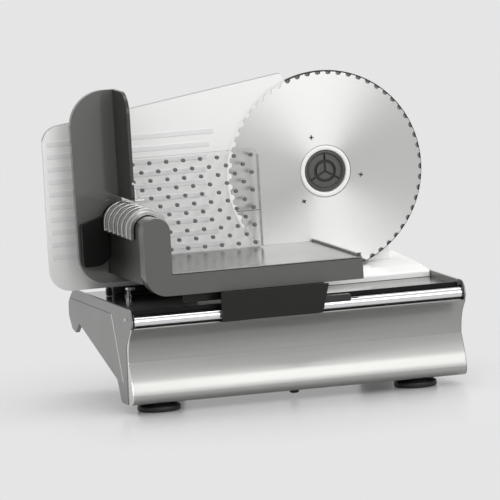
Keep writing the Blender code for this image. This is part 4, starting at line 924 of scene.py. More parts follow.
skirt_line = rounded([(0.072, 0.0933, 0.0), (0.072, 0.099, 0.0022), (0.1, 0.1025, 0.02),
    (0.143, 0.1045, 0.0), (0.143, 0.0933, 0.0)], 6)
skirt = start("blade_skirt", slab("x", skirt_line, 0.214, 0.3164))
cut(skirt, bar("y", AXLE, BLADE_RADIUS + 0.004, 0.118, 0.16, 160))
wing_line = [(0.142, 0.0933), (0.188, 0.0933), (0.188, 0.1064), (0.142, 0.10445)]
join(skirt, slab("x", wing_line, 0.3012, 0.3164))
soften(skirt, 0.0008, 3, 40.0)
fit(skirt, "base", white_plastic, "white_plastic", "housing_skirt")

make("cable_inlet", spun("y", (BLADE_X - 0.04, 0.0, 0.125),
    [(0.0033, 0.2059), (0.006, 0.2059), (0.006, 0.2074), (0.0052, 0.208), (0.0052, 0.2088),
        (0.0058, 0.2094), (0.0058, 0.2104), (0.005, 0.2116), (0.0033, 0.2116)], 48),
    None, "base", black_plastic, "black_plastic", "cord_gland", smooth=40.0)


# Switch and safety button

# A black rocker in a clipped-in bezel on the housing's right wall, and a round safety button on top of it
# that is held down while cutting.

SWITCH_X = 0.3019
SWITCH_Y = 0.1833
SWITCH_Z = 0.15
bezel = start("switch_frame", slab("x", rounded([(SWITCH_Y - 0.008, SWITCH_Z - 0.013, 0.002),
    (SWITCH_Y + 0.008, SWITCH_Z - 0.013, 0.002), (SWITCH_Y + 0.008, SWITCH_Z + 0.013, 0.002),
    (SWITCH_Y - 0.008, SWITCH_Z + 0.013, 0.002)], 6), SWITCH_X - 0.0009, SWITCH_X + 0.002))
soften(bezel, 0.0006, 3)
cut(bezel, block((SWITCH_X - 0.01, SWITCH_X + 0.01), (SWITCH_Y - 0.0055, SWITCH_Y + 0.0055),
    (SWITCH_Z - 0.0105, SWITCH_Z + 0.0105)))
fit(bezel, "base", black_plastic, "black_plastic", "switch_bezel")
rocker_line = rounded([(SWITCH_X + 0.003, SWITCH_Z - 0.0095, 0.0),
    (SWITCH_X + 0.0047, SWITCH_Z - 0.0092, 0.0006), (SWITCH_X + 0.003, SWITCH_Z, 0.02),
    (SWITCH_X + 0.0047, SWITCH_Z + 0.0092, 0.0006), (SWITCH_X + 0.003, SWITCH_Z + 0.0095, 0.0),
    (SWITCH_X - 0.0009, SWITCH_Z, 0.0)], 8)
rocker = start("rocker_cap", slab("y", rocker_line, SWITCH_Y - 0.005, SWITCH_Y + 0.005))
soften(rocker, 0.0004, 3, 50.0)
RING_BACK = SWITCH_X + 0.003
RING_FRONT = SWITCH_X + 0.00415
join(rocker, spun("x", (0.0, SWITCH_Y, SWITCH_Z - 0.0058), [(0.0014, RING_BACK), (0.0019, RING_BACK),
    (0.0019, RING_FRONT), (0.0014, RING_FRONT)], 40))
fit(rocker, "rocker", black_plastic, "black_plastic", "switch_rocker")

make("safety_button", spun("z", (BLADE_X, BUTTON_Y, 0.0),
    [(0.0, 0.249), (0.0067, 0.249), (0.0067, 0.2588), (0.0064, 0.2595), (0.0056, 0.26), (0.0048, 0.26),
        (0.003, 0.2594), (0.0, 0.2591)], 64),
    None, "button", black_plastic, "black_plastic", "lock_button", smooth=40.0)


# Blade guard and drive

# Behind the blade a dark plate closes the housing and rings the blade's outer half. The nylon gear, its zinc
# axle, the worm on the motor's shaft and their frame sit inside the housing.

dark_plastic = surface("dark_plastic", (0.09, 0.09, 0.084), 0.28, speck=0.05, speck_size=2000.0,
    uneven=0.08, bump=0.06, bump_size=1800.0, coat=0.1)
black_gloss = surface("black_gloss", (0.012, 0.012, 0.011), 0.22, speck=0.05, speck_size=1500.0,
    uneven=0.08, coat=0.2)
GUARD_Y = 0.1341
GUARD_RADIUS = 0.0944
guard_outline = (arc(AXLE_XZ, GUARD_RADIUS - 0.0012, -78.0, 111.0, 120)
    + arc(AXLE_XZ, 0.061, 111.0, 282.0, 60))
guard = start("guard_plate", slab("y", guard_outline, GUARD_Y + 0.0005, GUARD_Y + 0.0024))
join(guard, bar("y", AXLE, 0.059, GUARD_Y + 0.001, 0.143, 96))
cut(guard, bar("y", AXLE, 0.0565, GUARD_Y + 0.0024, 0.15, 96), bar("y", AXLE, 0.045, 0.12, 0.15, 96))
guard_plastic = surface("guard_plastic", (0.19, 0.19, 0.18), 0.34, speck=0.05, speck_size=2000.0,
    uneven=0.08)
fit(guard, "base", guard_plastic, "dark_plastic", "blade_guard")
rim_outline = (arc(AXLE_XZ, GUARD_RADIUS, -78.0, 111.0, 160)
    + arc(AXLE_XZ, GUARD_RADIUS - 0.0014, 111.0, -78.0, 160))
make("guard_rim", slab("y", rim_outline, GUARD_Y, GUARD_Y + 0.0024), (0.0003, 2, 50.0), "base",
    black_gloss, "dark_plastic")

nylon = surface("nylon", (0.7, 0.68, 0.6), 0.45, speck=0.03, speck_size=900.0, bump=0.08)
motor_steel = surface("motor_steel", (0.4, 0.4, 0.39), 0.42, metallic=1.0, speck=0.06, speck_size=600.0,
    uneven=0.15)
for finish, nodes in ((nylon, ("axle_bushing", "drive_gear")), (black_plastic, ("cooling_fan",)),
        (motor_steel, ("blade_axle", "gearbox_frame", "motor_mount", "motor_can", "shaft_bearing",
        "rotor_worm"))):
    for node in nodes:
        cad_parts[node].data.materials.clear()
        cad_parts[node].data.materials.append(finish)


# Blade

# A round blade of thin stainless steel with scalloped teeth, brushed in circles. It is screwed to a dark
# carrier with three screws around a white hub ring.

BLADE_FACE = 0.132
BLADE_SHEET = 0.0015
WELL_RADIUS = 0.0246


def scallop_tree():
    """A disc with a bore, its rim hollowed out by a round gullet between each pair of tips."""
    tree, (radius, teeth, depth, tip, bore, sheet, place) = tree_for("scalloped_disc",
        {"Radius": 0.1, "Teeth": 40, "Depth": 0.003, "Tip": 0.4, "Bore": 0.01, "Sheet": 0.002,
        "Place": ZERO})
    steps = 16.0
    rim = grow(tree, "GeometryNodeCurvePrimitiveCircle", {"Resolution": teeth * steps, "Radius": radius})
    index = Number(tree, grow(tree, "GeometryNodeInputIndex").outputs[0])
    past_tip = ((index / steps).by("FRACT") - tip).by("MAXIMUM", 0.0)
    off_middle = past_tip / (1.0 - tip) * 2.0 - 1.0
    gullet = (1.0 - off_middle * off_middle).by("MAXIMUM", 0.0).by("SQRT")
    drawn_in = grow(tree, "ShaderNodeVectorMath", {0: grow(tree, "GeometryNodeInputPosition"),
        "Scale": 1.0 - gullet * depth / radius}, operation="SCALE")
    scalloped = grow(tree, "GeometryNodeSetPosition", {0: rim, "Position": drawn_in})
    hole = grow(tree, "GeometryNodeCurvePrimitiveCircle", {"Resolution": 64, "Radius": bore})
    flat = grow(tree, "GeometryNodeFillCurve",
        {0: grow(tree, "GeometryNodeJoinGeometry", {0: [hole, scalloped]})})
    raised = grow(tree, "GeometryNodeExtrudeMesh", {0: flat, "Offset Scale": sheet, "Individual": False})
    under = grow(tree, "GeometryNodeFlipFaces", {0: flat})
    closed = grow(tree, "GeometryNodeJoinGeometry", {0: [under, raised]})
    whole = grow(tree, "GeometryNodeMergeByDistance", {0: closed, "Distance": 1e-6})
    return end_tree(tree, grow(tree, "GeometryNodeTransform",
        {0: whole, "Translation": place, "Rotation": (math.pi / 2, 0.0, 0.0)}), blade_steel)


RING_SCALES = ((2200.0, 1.2), (150.0, 0.8))


def turned_steel(name, colour, roughness, centre, spin):
    """Steel brushed in circles about an axle along Y: fine rings in colour, gloss and relief."""
    made, tree = new_material(name, colour)

    def vector(operation, *terms):
        return grow(tree, "ShaderNodeVectorMath", dict(enumerate(terms)), operation=operation)

    from_axle = vector("SUBTRACT", grow(tree, "ShaderNodeTexCoord").outputs["Object"], centre)
    flat = vector("MULTIPLY", from_axle, (1.0, 0.0, 1.0))
    outward = vector("NORMALIZE", flat)
    reach = Number(tree, vector("LENGTH", flat).outputs["Value"])
    x, _, z = parts(tree, outward)
    fine, broad = [noise(tree, xyz(tree, reach * across, x * around, z * around), 1.0, 3.0)
        for across, around in RING_SCALES]
    facing = grow(tree, "ShaderNodeVectorTransform", {0: outward}, vector_type="VECTOR",
        convert_from="OBJECT", convert_to="WORLD")
    return shaded(made, {"Metallic": 1.0, "Anisotropic": spin,
        "Base Color": tinted(tree, fine, colour, 0.97, 1.03),
        "Roughness": between(tree, broad, roughness * 0.96, roughness * 1.04),
        "Normal": relief(tree, fine, 0.03, 0.00002), "Tangent": facing})


blade_steel = turned_steel("blade_steel", (0.63, 0.63, 0.62), 0.33, Vector(AXLE) - ORIGIN, 0.85)
blade = run_tree("scalloped_blade", scallop_tree(), {"Radius": BLADE_RADIUS, "Teeth": 58, "Depth": 0.0027,
    "Tip": 0.44, "Bore": WELL_RADIUS + 0.0001, "Sheet": BLADE_SHEET,
    "Place": (BLADE_X, BLADE_FACE + BLADE_SHEET, BLADE_Z)})
well = spun("y", AXLE, [(WELL_RADIUS, BLADE_FACE + 0.0002),
    (WELL_RADIUS + BLADE_SHEET, BLADE_FACE + 0.0006), (WELL_RADIUS + BLADE_SHEET, 0.1385),
    (0.009, 0.1385), (0.009, 0.137), (WELL_RADIUS, 0.137)], 96)
blade.data = together([blade.data.copy(), well])
fit(blade, "blade", blade_steel, "polished_steel", "blade")

make("hub_collar", spun("y", AXLE, [(0.0198, 0.1367), (0.0243, 0.1367), (0.0243, 0.1328),
    (0.0241, 0.1322), (0.0236, 0.1318), (0.0228, 0.1316), (0.0212, 0.1316), (0.0203, 0.1319),
    (0.0198, 0.1326)], 128), None, "blade", white_plastic, "white_plastic", "hub_ring", smooth=40.0)
for number, angle in enumerate((110.0, 230.0, 350.0), 1):
    x, z = polar(AXLE_XZ, 0.0347, angle)
    add_screw("blade_screw_head_" + str(number), (x, BLADE_FACE - 0.0001, z),
        (math.pi / 2, 0.5 + number, 0.0), 0.0036, 0.0012, "blade", "blade_screw_" + str(number),
        finish=bright_zinc)
make("carrier_disc", spun("y", AXLE,
    [(0.0123, 0.1388), (0.0264, 0.1388), (0.0264, 0.1338), (0.0416, 0.1338), (0.042, 0.1342),
        (0.042, 0.1412), (0.0416, 0.1416), (0.0123, 0.1416)], 96),
    None, "blade", dark_plastic, "dark_plastic", "blade_carrier")


# Blade lock

# A black quarter-turn lock in the hub ring: a low cap with a raised rim, a round channel and three
# grooves for the fingers.

LOCK_FACE = 0.1338
LOCK_CHANNEL = (0.1345, 0.136)
lock_profile = [(0.0, 0.1367), (0.0193, 0.1367), (0.0193, 0.1344), (0.019, 0.1339), (0.0184, 0.1336),
    (0.0177, 0.1336), (0.0173, 0.1339), (0.0169, 0.1349), (0.0165, 0.135), (0.0152, 0.134),
    (0.0149, LOCK_FACE), (0.0108, LOCK_FACE), (0.0105, LOCK_FACE + 0.0003), (0.0105, 0.1356),
    (0.008, 0.1356), (0.008, LOCK_FACE + 0.0003), (0.0077, LOCK_FACE), (0.0, LOCK_FACE)]
lock = start("quarter_turn_lock", spun("y", AXLE, lock_profile, 96))
for angle in (90.0, 210.0, 330.0):
    groove = slab("x", [(LOCK_FACE - 0.004, -0.0014), (LOCK_FACE, -0.0011), (LOCK_FACE + 0.0015, -0.0006),
        (LOCK_FACE + 0.0015, 0.0008), (LOCK_FACE, 0.0009), (LOCK_FACE - 0.004, 0.0009)], -0.0004, 0.0165)
    groove.transform(Matrix.Translation(AXLE) @ Matrix.Rotation(-math.radians(angle), 4, "Y"))
    cut(lock, groove)
soften(lock, 0.00015, 2, 50.0)
lock_plastic = surface("lock_plastic", (0.075, 0.075, 0.07), 0.3, speck=0.05, speck_size=1500.0, coat=0.1)
fit(lock, "lock", lock_plastic, "black_plastic", "blade_lock", smooth=35.0)
# Painted shade: the round channel's floor and walls take the near-black plastic, standing in for the shade
# in the channel.
paint(lock, black_plastic, lambda middle, normal: (LOCK_CHANNEL[0] < middle.y < LOCK_CHANNEL[1]
    and math.hypot(middle.x - BLADE_X, middle.z - BLADE_Z) < 0.014))


# Thickness guide

# A white moulded plate, hollowed around the blade and ribbed across so that food slides on it. Behind it
# a black yoke with two rods slides in a block on the deck, moved by a knob.

GUIDE_LEFT = -0.0313
GUIDE_Y = 0.1347
GUIDE_BACK = 0.139
GUIDE_SHEET = 0.004
GUIDE_TIP = BLADE_X - 0.0348
GUIDE_BOTTOM = 0.1022
GUIDE_TOP_LEFT = 0.2545
GUIDE_TOP_RIGHT = 0.2887
GUIDE_FOOT_END = BLADE_X - 0.0707
KNOB_X = 0.07
KNOB_Z = 0.122
RIB_PROUD = 0.0004


def guide_outline():
    reach = BLADE_RADIUS + 0.0012
    rise = (GUIDE_TOP_RIGHT - GUIDE_TOP_LEFT) / (GUIDE_TIP - GUIDE_LEFT)
    top_turn = 180.0 - math.degrees(math.acos((BLADE_X - GUIDE_TIP + 0.001) / (reach + 0.0005)))
    foot_turn = 180.0 + math.degrees(math.acos((BLADE_X - GUIDE_FOOT_END) / reach))
    corners = rounded([(GUIDE_TIP - 0.001, GUIDE_TOP_RIGHT - rise * 0.001, 0.003),
        (GUIDE_LEFT, GUIDE_TOP_LEFT, 0.017), (GUIDE_LEFT, GUIDE_BOTTOM, 0.02),
        (GUIDE_FOOT_END, GUIDE_BOTTOM, 0.0)], 16)
    return corners + arc(AXLE_XZ, reach, foot_turn, top_turn, 90)


def rib_tree():
    """Level ribs one under another, each ending on a circle about the blade's axle."""
    tree, (ribs, pitch, height, depth, left, top, front, stop, axle) = tree_for("guide_ribs",
        {"Ribs": 10, "Pitch": 0.0117, "Height": 0.0055, "Depth": 0.002, "Left": 0.0, "Top": 0.2,
        "Front": 0.0, "Stop": 0.1, "Axle": AXLE})
    axle_x, _, axle_z = parts(tree, axle)
    column = grow(tree, "GeometryNodeMeshLine", {"Count": ribs, "Start Location": xyz(tree, z=top),
        "Offset": xyz(tree, z=pitch * -1.0)})
    level = parts(tree, grow(tree, "GeometryNodeInputPosition"))[2]
    drop = level - axle_z
    right = axle_x - (stop * stop - drop * drop).by("SQRT")
    middle = xyz(tree, (right + left) * 0.5, front + depth * 0.5, level)
    moved = grow(tree, "GeometryNodeSetPosition", {0: column, "Position": middle})
    square = grow(tree, "GeometryNodeCurvePrimitiveQuadrilateral", {"Width": depth, "Height": height})
    profile = grow(tree, "GeometryNodeFilletCurve", {0: square, "Count": 4, "Radius": 0.0008},
        mode="POLY")
    line = grow(tree, "GeometryNodeCurvePrimitiveLine",
        {"Start": (-0.5, 0.0, 0.0), "End": (0.5, 0.0, 0.0)})
    rib = grow(tree, "GeometryNodeCurveToMesh", {0: line, 1: profile, "Fill Caps": True})
    return end_tree(tree, grow(tree, "GeometryNodeInstanceOnPoints",
        {"Points": moved, "Instance": rib, "Scale": xyz(tree, right - left, 1.0, 1.0)}), white_plastic)


guide = make("guide_sheet", slab("y", guide_outline(), GUIDE_Y, GUIDE_Y + GUIDE_SHEET), (0.0006, 3, 50.0),
    "guide", white_plastic, "white_plastic", "guide_plate")
# Painted shade: the guide's upward-facing edges take a mid grey, standing in for a shaded outline along its
# top.
guide_edge_painted_shade = surface("guide_edge_painted_shade", (0.42, 0.42, 0.42), 0.45, speck=0.02, speck_size=1500.0)
paint(guide, guide_edge_painted_shade, lambda middle, normal: normal.z > 0.2)
ribs = run_tree("guide_ribs", rib_tree(), {"Ribs": 10, "Pitch": 0.0117, "Height": 0.0055, "Depth": 0.0018,
    "Left": GUIDE_LEFT + 0.004, "Top": BLADE_Z + 0.0468, "Front": GUIDE_Y - RIB_PROUD,
    "Stop": BLADE_RADIUS + 0.0222, "Axle": AXLE})
# Painted shade: the ribs take a greyer copy of the guide's white plastic, standing in for the shade along
# them.
rib_painted_shade = surface("rib_painted_shade", (0.84, 0.84, 0.84), 0.45, speck=0.01, speck_size=1500.0, uneven=0.04)
fit(ribs, "guide", rib_painted_shade, "white_plastic", smooth=50.0)

yoke = start("guide_yoke", block((KNOB_X - 0.04, KNOB_X + 0.04), (GUIDE_BACK, GUIDE_BACK + 0.006),
    (0.0935, KNOB_Z + 0.016)))
soften(yoke, 0.0014, 3)
for side in (-1, 1):
    rod_place = (KNOB_X + side * 0.025, 0.0, KNOB_Z)
    join(yoke, bar("y", rod_place, 0.007, GUIDE_BACK + 0.002, GUIDE_BACK + 0.009, 48, 0.0006),
        bar("y", rod_place, 0.004, GUIDE_BACK + 0.003, 0.179, 48, 0.0005))
fit(yoke, "guide", black_plastic, "black_plastic", "guide_carrier")

guide_block = start("rod_block", block((KNOB_X - 0.036, KNOB_X + 0.036), (0.161, 0.173),
    (0.0933, KNOB_Z + 0.012)))
soften(guide_block, 0.0018, 3)
for offset in (-0.025, 0.025, 0.0):
    cut(guide_block, bar("y", (KNOB_X + offset, 0.0, KNOB_Z), 0.0043, 0.15, 0.19, 48))
for offset in (-0.0125, 0.0125):
    cut(guide_block, slab("y", rounded([(KNOB_X + offset - 0.007, 0.0975, 0.0015),
        (KNOB_X + offset + 0.007, 0.0975, 0.0015), (KNOB_X + offset + 0.005, 0.113, 0.0015),
        (KNOB_X + offset - 0.005, 0.113, 0.0015)], 4), 0.1692, 0.18))
fit(guide_block, "base", silver_plastic, "silver_plastic", "guide_block")


def knob_outline():
    """Twelve finger lobes around the knob."""
    points = []
    lobes = 12
    for i in range(lobes * 8):
        lift = 0.5 + 0.5 * math.cos(2 * math.pi * i / 8)
        points.append(polar((KNOB_X, KNOB_Z), 0.016 - 0.0011 * (1.0 - lift), 360.0 * i / (lobes * 8)))
    return points


KNOB_AXIS = (KNOB_X, 0.0, KNOB_Z)
knob = start("thickness_dial", slab("y", knob_outline(), 0.1815, 0.1975))
soften(knob, 0.001, 3, 60.0)
cut(knob, spun("y", KNOB_AXIS, [(0.0, 0.1964), (0.0105, 0.1964), (0.0115, 0.1982), (0.0, 0.1982)], 64))
join(knob, block((KNOB_X - 0.0009, KNOB_X + 0.0009), (0.1952, 0.1972), (KNOB_Z + 0.002, KNOB_Z + 0.011)),
    bar("y", KNOB_AXIS, 0.004, 0.159, 0.1822, 48, 0.0004))
fit(knob, "knob", black_plastic, "black_plastic", "thickness_knob")

post = start("plate_stop", block((0.024, 0.029), (0.1415, 0.1475), (0.0933, 0.1004)))
soften(post, 0.0009, 3)
join(post, block((0.0246, 0.0284), (0.1421, 0.1469), (0.0995, 0.1017)))
fit(post, "base", black_plastic, "black_plastic", "deck_post")
pin = start("deck_stud", spun("z", (0.0402, 0.1267, 0.0), [(0.0, 0.0933), (0.0034, 0.0933),
    (0.0034, 0.0942), (0.0024, 0.0946), (0.0024, 0.0984), (0.0026, 0.0988), (0.0026, 0.101),
    (0.0021, 0.1017), (0.0, 0.1017)], 48))
join(pin, block((0.0407, 0.0467), (0.1252, 0.1282), (0.0987, 0.1012)))
fit(pin, "base", chrome, "chrome", "deck_pin", smooth=40.0)


# Carriage

# One dark moulding: an upright wall with a round top at the left and a low bar along the front, joined by a
# shelf that carries the brushed steel tray. A bracket and a shoe hang it on the rail.

WALL_MID = 0.03075
WALL_ARC_Z = 0.16725
WALL_HALF = 0.01275
CARRIAGE_FRONT = -0.022
CARRIAGE_BACK = 0.131
CARRIAGE_RIGHT = 0.2246
BAR_TOP = 0.1272
BAR_BOTTOM = 0.1082
carriage_outline = (rounded([(WALL_MID + WALL_HALF, BAR_TOP, 0.0), (CARRIAGE_RIGHT, BAR_TOP, 0.0008),
    (CARRIAGE_RIGHT, BAR_BOTTOM, 0.001), (WALL_MID - WALL_HALF, BAR_BOTTOM, 0.02),
    (WALL_MID - WALL_HALF, WALL_ARC_Z, 0.0), (WALL_MID + WALL_HALF, WALL_ARC_Z, 0.0)], 12)[:-2]
    + arc((WALL_MID, WALL_ARC_Z), WALL_HALF, 180.0, 0.0, 48))
carriage = start("carriage_moulding", slab("y", carriage_outline, CARRIAGE_FRONT, -0.006))
wall_half = WALL_HALF - 0.0002
join(carriage, slab("y", [(WALL_MID - wall_half, 0.1194), (WALL_MID + wall_half, 0.1194)]
    + arc((WALL_MID, WALL_ARC_Z), wall_half, 0.0, 180.0, 48), -0.01, CARRIAGE_BACK),
    block((WALL_MID + WALL_HALF - 0.004, CARRIAGE_RIGHT - 0.0026), (-0.009, CARRIAGE_BACK - 0.001),
    (0.1215, BAR_TOP - 0.0007)))
soften(carriage, 0.0005, 3, 50.0)
fit(carriage, "carriage", dark_plastic, "dark_plastic", "carriage_frame")
# Painted shade: the upright wall's outer left side takes a near-black copy of the dark plastic, standing in
# for the shade that falls on that side.
carriage_painted_shade = surface("carriage_painted_shade", (0.017, 0.017, 0.015), 0.3, speck=0.06, speck_size=2000.0,
    uneven=0.08, specular=0.18)
paint(carriage, carriage_painted_shade, lambda middle, normal: normal.x < -0.8 and middle.y > -0.005)

tray_steel = brushed("tray_steel", (0.23, 0.23, 0.225), 0.24, along=0, fine=0.9, spin=0.3, streak=0.05)
make("steel_tray", block((0.044, CARRIAGE_RIGHT), (CARRIAGE_FRONT + 0.0005, CARRIAGE_BACK),
    (0.1275, 0.1287)), (0.0004, 3), "carriage", tray_steel, "brushed_steel", "carriage_tray")
strip = start("tray_rail", slab("y", rounded([(0.2222, 0.129, 0.0003), (0.2244, 0.129, 0.0003),
    (0.2244, 0.1311, 0.0006), (0.2222, 0.1311, 0.0006)], 6), -0.015, CARRIAGE_BACK))
soften(strip, 0.0003, 2, 50.0)
strip_steel = brushed("strip_steel", (0.5, 0.5, 0.49), 0.34, along=1, fine=0.8)
fit(strip, "carriage", strip_steel, "dark_plastic", "tray_edge_strip")
make("tray_stop", spun("z", (0.2224, -0.0184, 0.0), [(0.0, 0.1288), (0.0019, 0.1288), (0.0019, 0.13),
    (0.0015, 0.1304), (0.0015, 0.1308), (0.0021, 0.1312), (0.0021, 0.1317), (0.0016, 0.132),
    (0.0, 0.1321)], 40), None, "carriage", dark_plastic, "dark_plastic", smooth=40.0)

shadow_plastic = surface("shadow_plastic", (0.012, 0.012, 0.01), 0.34, speck=0.08, speck_size=2000.0,
    bump=0.1, bump_size=1800.0, specular=0.22)
BRACKET_FRONT = -0.0288
BRACKET_SHEET = 0.0022
bracket = start("rail_bracket", slab("y", rounded([(0.086, 0.0808, 0.0006), (0.1822, 0.0815, 0.0008),
    (0.1892, 0.1079, 0.0008), (0.0865, 0.1079, 0.001)], 8), BRACKET_FRONT, BRACKET_FRONT + BRACKET_SHEET))
join(bracket, block((0.09, 0.1852), (BRACKET_FRONT + 0.001, -0.008), (0.1051, 0.1078)),
    block((0.056, 0.096), (-0.0085, -0.0065), (0.0992, 0.1078)))
soften(bracket, 0.0005, 3, 50.0)
fit(bracket, "carriage", shadow_plastic, "dark_plastic", "carriage_bracket")

shoe_wrap = arc((RAIL_Y, RAIL_Z), RAIL_RADIUS + 0.0005, 34.0, 146.0, 40)
shoe = start("glide_shoe", slab("x", [(RAIL_Y - 0.0054, 0.0955), (RAIL_Y + 0.0054, 0.0955),
    (RAIL_Y + 0.0054, 0.09), *shoe_wrap, (RAIL_Y - 0.0054, 0.09)], 0.088, 0.2105))
join(shoe, block((0.092, 0.1772), (RAIL_Y - 0.004, RAIL_Y + 0.004), (0.094, 0.1048)))
soften(shoe, 0.0004, 2, 50.0)
fit(shoe, "carriage", black_plastic, "black_plastic", "rail_shoe")
runner = start("deck_runner", block((0.12, 0.18), (0.04, 0.06), (0.0935, 0.1212)))
soften(runner, 0.0015, 3)
for x in (0.1325, 0.15, 0.1675):
    for window in ((0.038, 0.0425), (0.0575, 0.062)):
        cut(runner, block((x - 0.0065, x + 0.0065), window, (0.0975, 0.118)))
fit(runner, "carriage", black_plastic, "black_plastic", "runner_post")


# Food pusher

# A ribbed silver saddle slides along the top of the upright wall and carries a tall dark shield with a fin.
# A clear perforated plate is clipped to the fin and presses the food towards the blade.

SLIDE_RADIUS = 0.01315
SADDLE_FRONT = 0.0085
SADDLE_BACK = 0.097
SHIELD_Y = 0.106
SHIELD_SHEET = 0.006
SHIELD_LEFT = -0.0112
SHIELD_RIGHT = 0.034
SHIELD_TOP = 0.2888
WALL_CENTRE = (WALL_MID, WALL_ARC_Z)


def bridge_outline(inner, outer, legs, steps):
    low = WALL_ARC_Z - legs
    return ([(WALL_MID + outer, low)] + arc(WALL_CENTRE, outer, 0.0, 180.0, steps)
        + [(WALL_MID - outer, low), (WALL_MID - inner, low)] + arc(WALL_CENTRE, inner, 180.0, 0.0, steps)
        + [(WALL_MID + inner, low)])


def saddle_rib_tree():
    """Flat-topped ribs that run over the saddle from one side to the other, evenly spaced along Y."""
    tree, (ribs, pitch, width, radius, depth, legs, corner, begin) = tree_for("saddle_ribs",
        {"Ribs": 6, "Pitch": 0.015, "Width": 0.004, "Radius": 0.018, "Depth": 0.003, "Legs": 0.006,
        "Corner": 0.001, "Start": ZERO})
    points = 60
    line = grow(tree, "GeometryNodeMeshLine", {"Count": points, "Offset": ZERO})
    index = Number(tree, grow(tree, "GeometryNodeInputIndex").outputs[0])
    half_round = radius * math.pi
    walked = index / (points - 1.0) * (half_round + legs * 2.0) - legs
    on_round = walked.by("MAXIMUM", 0.0).by("MINIMUM", half_round)
    turn = on_round / radius
    on_leg = (walked - on_round).by("ABSOLUTE")
    bent = grow(tree, "GeometryNodeSetPosition",
        {0: line, "Position": xyz(tree, turn.by("COSINE") * radius, 0.0,
        turn.by("SINE") * radius - on_leg)})
    path = grow(tree, "GeometryNodeSetCurveNormal", {0: grow(tree, "GeometryNodeMeshToCurve", {0: bent}),
        "Normal": (0.0, 1.0, 0.0)}, mode="FREE")
    square = grow(tree, "GeometryNodeCurvePrimitiveQuadrilateral", {"Width": width, "Height": depth})
    profile = grow(tree, "GeometryNodeFilletCurve", {0: square, "Count": 5, "Radius": corner},
        mode="POLY")
    rib = grow(tree, "GeometryNodeCurveToMesh", {0: path, 1: profile, "Fill Caps": True})
    row = grow(tree, "GeometryNodeMeshLine", {"Count": ribs, "Start Location": begin,
        "Offset": xyz(tree, y=pitch)})
    return end_tree(tree, grow(tree, "GeometryNodeInstanceOnPoints", {"Points": row, "Instance": rib}),
        silver_plastic)


saddle_silver = surface("saddle_silver", (0.46, 0.46, 0.45), 0.16, metallic=0.85, speck=0.03,
    speck_size=1500.0, uneven=0.12)
make("saddle_shell",
    slab("y", bridge_outline(SLIDE_RADIUS, 0.0168, 0.0085, 64), SADDLE_FRONT, SADDLE_BACK),
    (0.0005, 3, 50.0), "pusher", saddle_silver, "silver_plastic", "pusher_saddle")
saddle_ribs = run_tree("saddle_ribs", saddle_rib_tree(), {"Ribs": 6, "Pitch": 0.0153, "Width": 0.004,
    "Radius": 0.0178, "Depth": 0.0034, "Legs": 0.0065, "Corner": 0.0008,
    "Start": (WALL_MID, SADDLE_FRONT + 0.006, WALL_ARC_Z)})
fit(saddle_ribs, "pusher", saddle_silver, "silver_plastic", smooth=50.0)


def collar_outline():
    side = WALL_MID - SLIDE_RADIUS
    corner = rounded([(side, WALL_ARC_Z, 0.0), (-0.008, WALL_ARC_Z, 0.003), (-0.008, 0.127, 0.003),
        (side, 0.127, 0.013)], 8)
    over = arc(WALL_CENTRE, SLIDE_RADIUS + 0.0048, 0.0, 160.0, 48)
    under = arc(WALL_CENTRE, SLIDE_RADIUS, 180.0, 0.0, 48)[1:]
    right = WALL_MID + SLIDE_RADIUS
    return (corner[1:] + corner[:1] + under + [(right, WALL_ARC_Z - 0.0085),
        (right + 0.0048, WALL_ARC_Z - 0.0085)] + over)


make("saddle_collar", slab("y", collar_outline(), 0.0973, 0.1057), (0.0005, 2, 50.0), "pusher",
    black_and_painted_shade, "black_plastic", "pusher_collar")


def shield_outline():
    window = WALL_MID - SLIDE_RADIUS
    edge = math.degrees(math.acos((SHIELD_RIGHT - WALL_MID) / SLIDE_RADIUS))
    return rounded([(window, WALL_ARC_Z, 0.0), (window, 0.1189, 0.0), (0.0526, 0.1189, 0.002),
        (0.0526, 0.1102, 0.003), (SHIELD_LEFT + 0.0016, 0.1102, 0.025), (SHIELD_LEFT, SHIELD_TOP, 0.033),
        (SHIELD_RIGHT, SHIELD_TOP, 0.0015)], 20) + arc(WALL_CENTRE, SLIDE_RADIUS, edge, 180.0, 36)[:-1]


shield = start("hand_shield", slab("y", shield_outline(), SHIELD_Y, SHIELD_Y + SHIELD_SHEET))
join(shield, slab("x", rounded([(0.059, 0.1895, 0.003), (SHIELD_Y + 0.002, 0.1895, 0.0),
    (SHIELD_Y + 0.002, SHIELD_TOP - 0.0002, 0.0), (0.059, SHIELD_TOP - 0.0002, 0.02)], 16),
    0.0308, 0.0338))
soften(shield, 0.0006, 3, 50.0)
# Painted light: the shield takes a paler copy of the dark plastic, standing in for light on its front; its
# gloss and coat make its reflections.
shield_painted_light = surface("shield_painted_light", (0.115, 0.115, 0.108), 0.13, speck=0.03, speck_size=2000.0,
    uneven=0.05, coat=0.35)
fit(shield, "pusher", shield_painted_light, "dark_plastic", "pusher_guard")
# Painted shade: the fin's faces take a near-black copy of the shield's plastic, standing in for the shade on
# the fin.
fin_painted_shade = surface("fin_painted_shade", (0.03, 0.03, 0.027), 0.3, speck=0.06, speck_size=2000.0, uneven=0.06)
paint(shield, fin_painted_shade, lambda middle, normal: middle.y < SHIELD_Y - 0.0008)
make("fin_pin", spun("y", (0.0323, 0.0, 0.205), [(0.0, 0.056), (0.0008, 0.056), (0.0012, 0.0564),
    (0.0012, 0.0572), (0.0009, 0.0575), (0.0009, 0.06), (0.0, 0.06)], 32), None, "pusher", zinc, "zinc",
    smooth=40.0)

PRESSER_Y = 0.1225
PRESSER_SHEET = 0.0025
PRESSER_RIGHT = 0.1705
PRESSER_TOP = 0.2212
PRESSER_BOTTOM = 0.1293
PRESSER_LEFT = SHIELD_RIGHT + 0.002
BESIDE_WALL = WALL_MID + WALL_HALF + 0.001


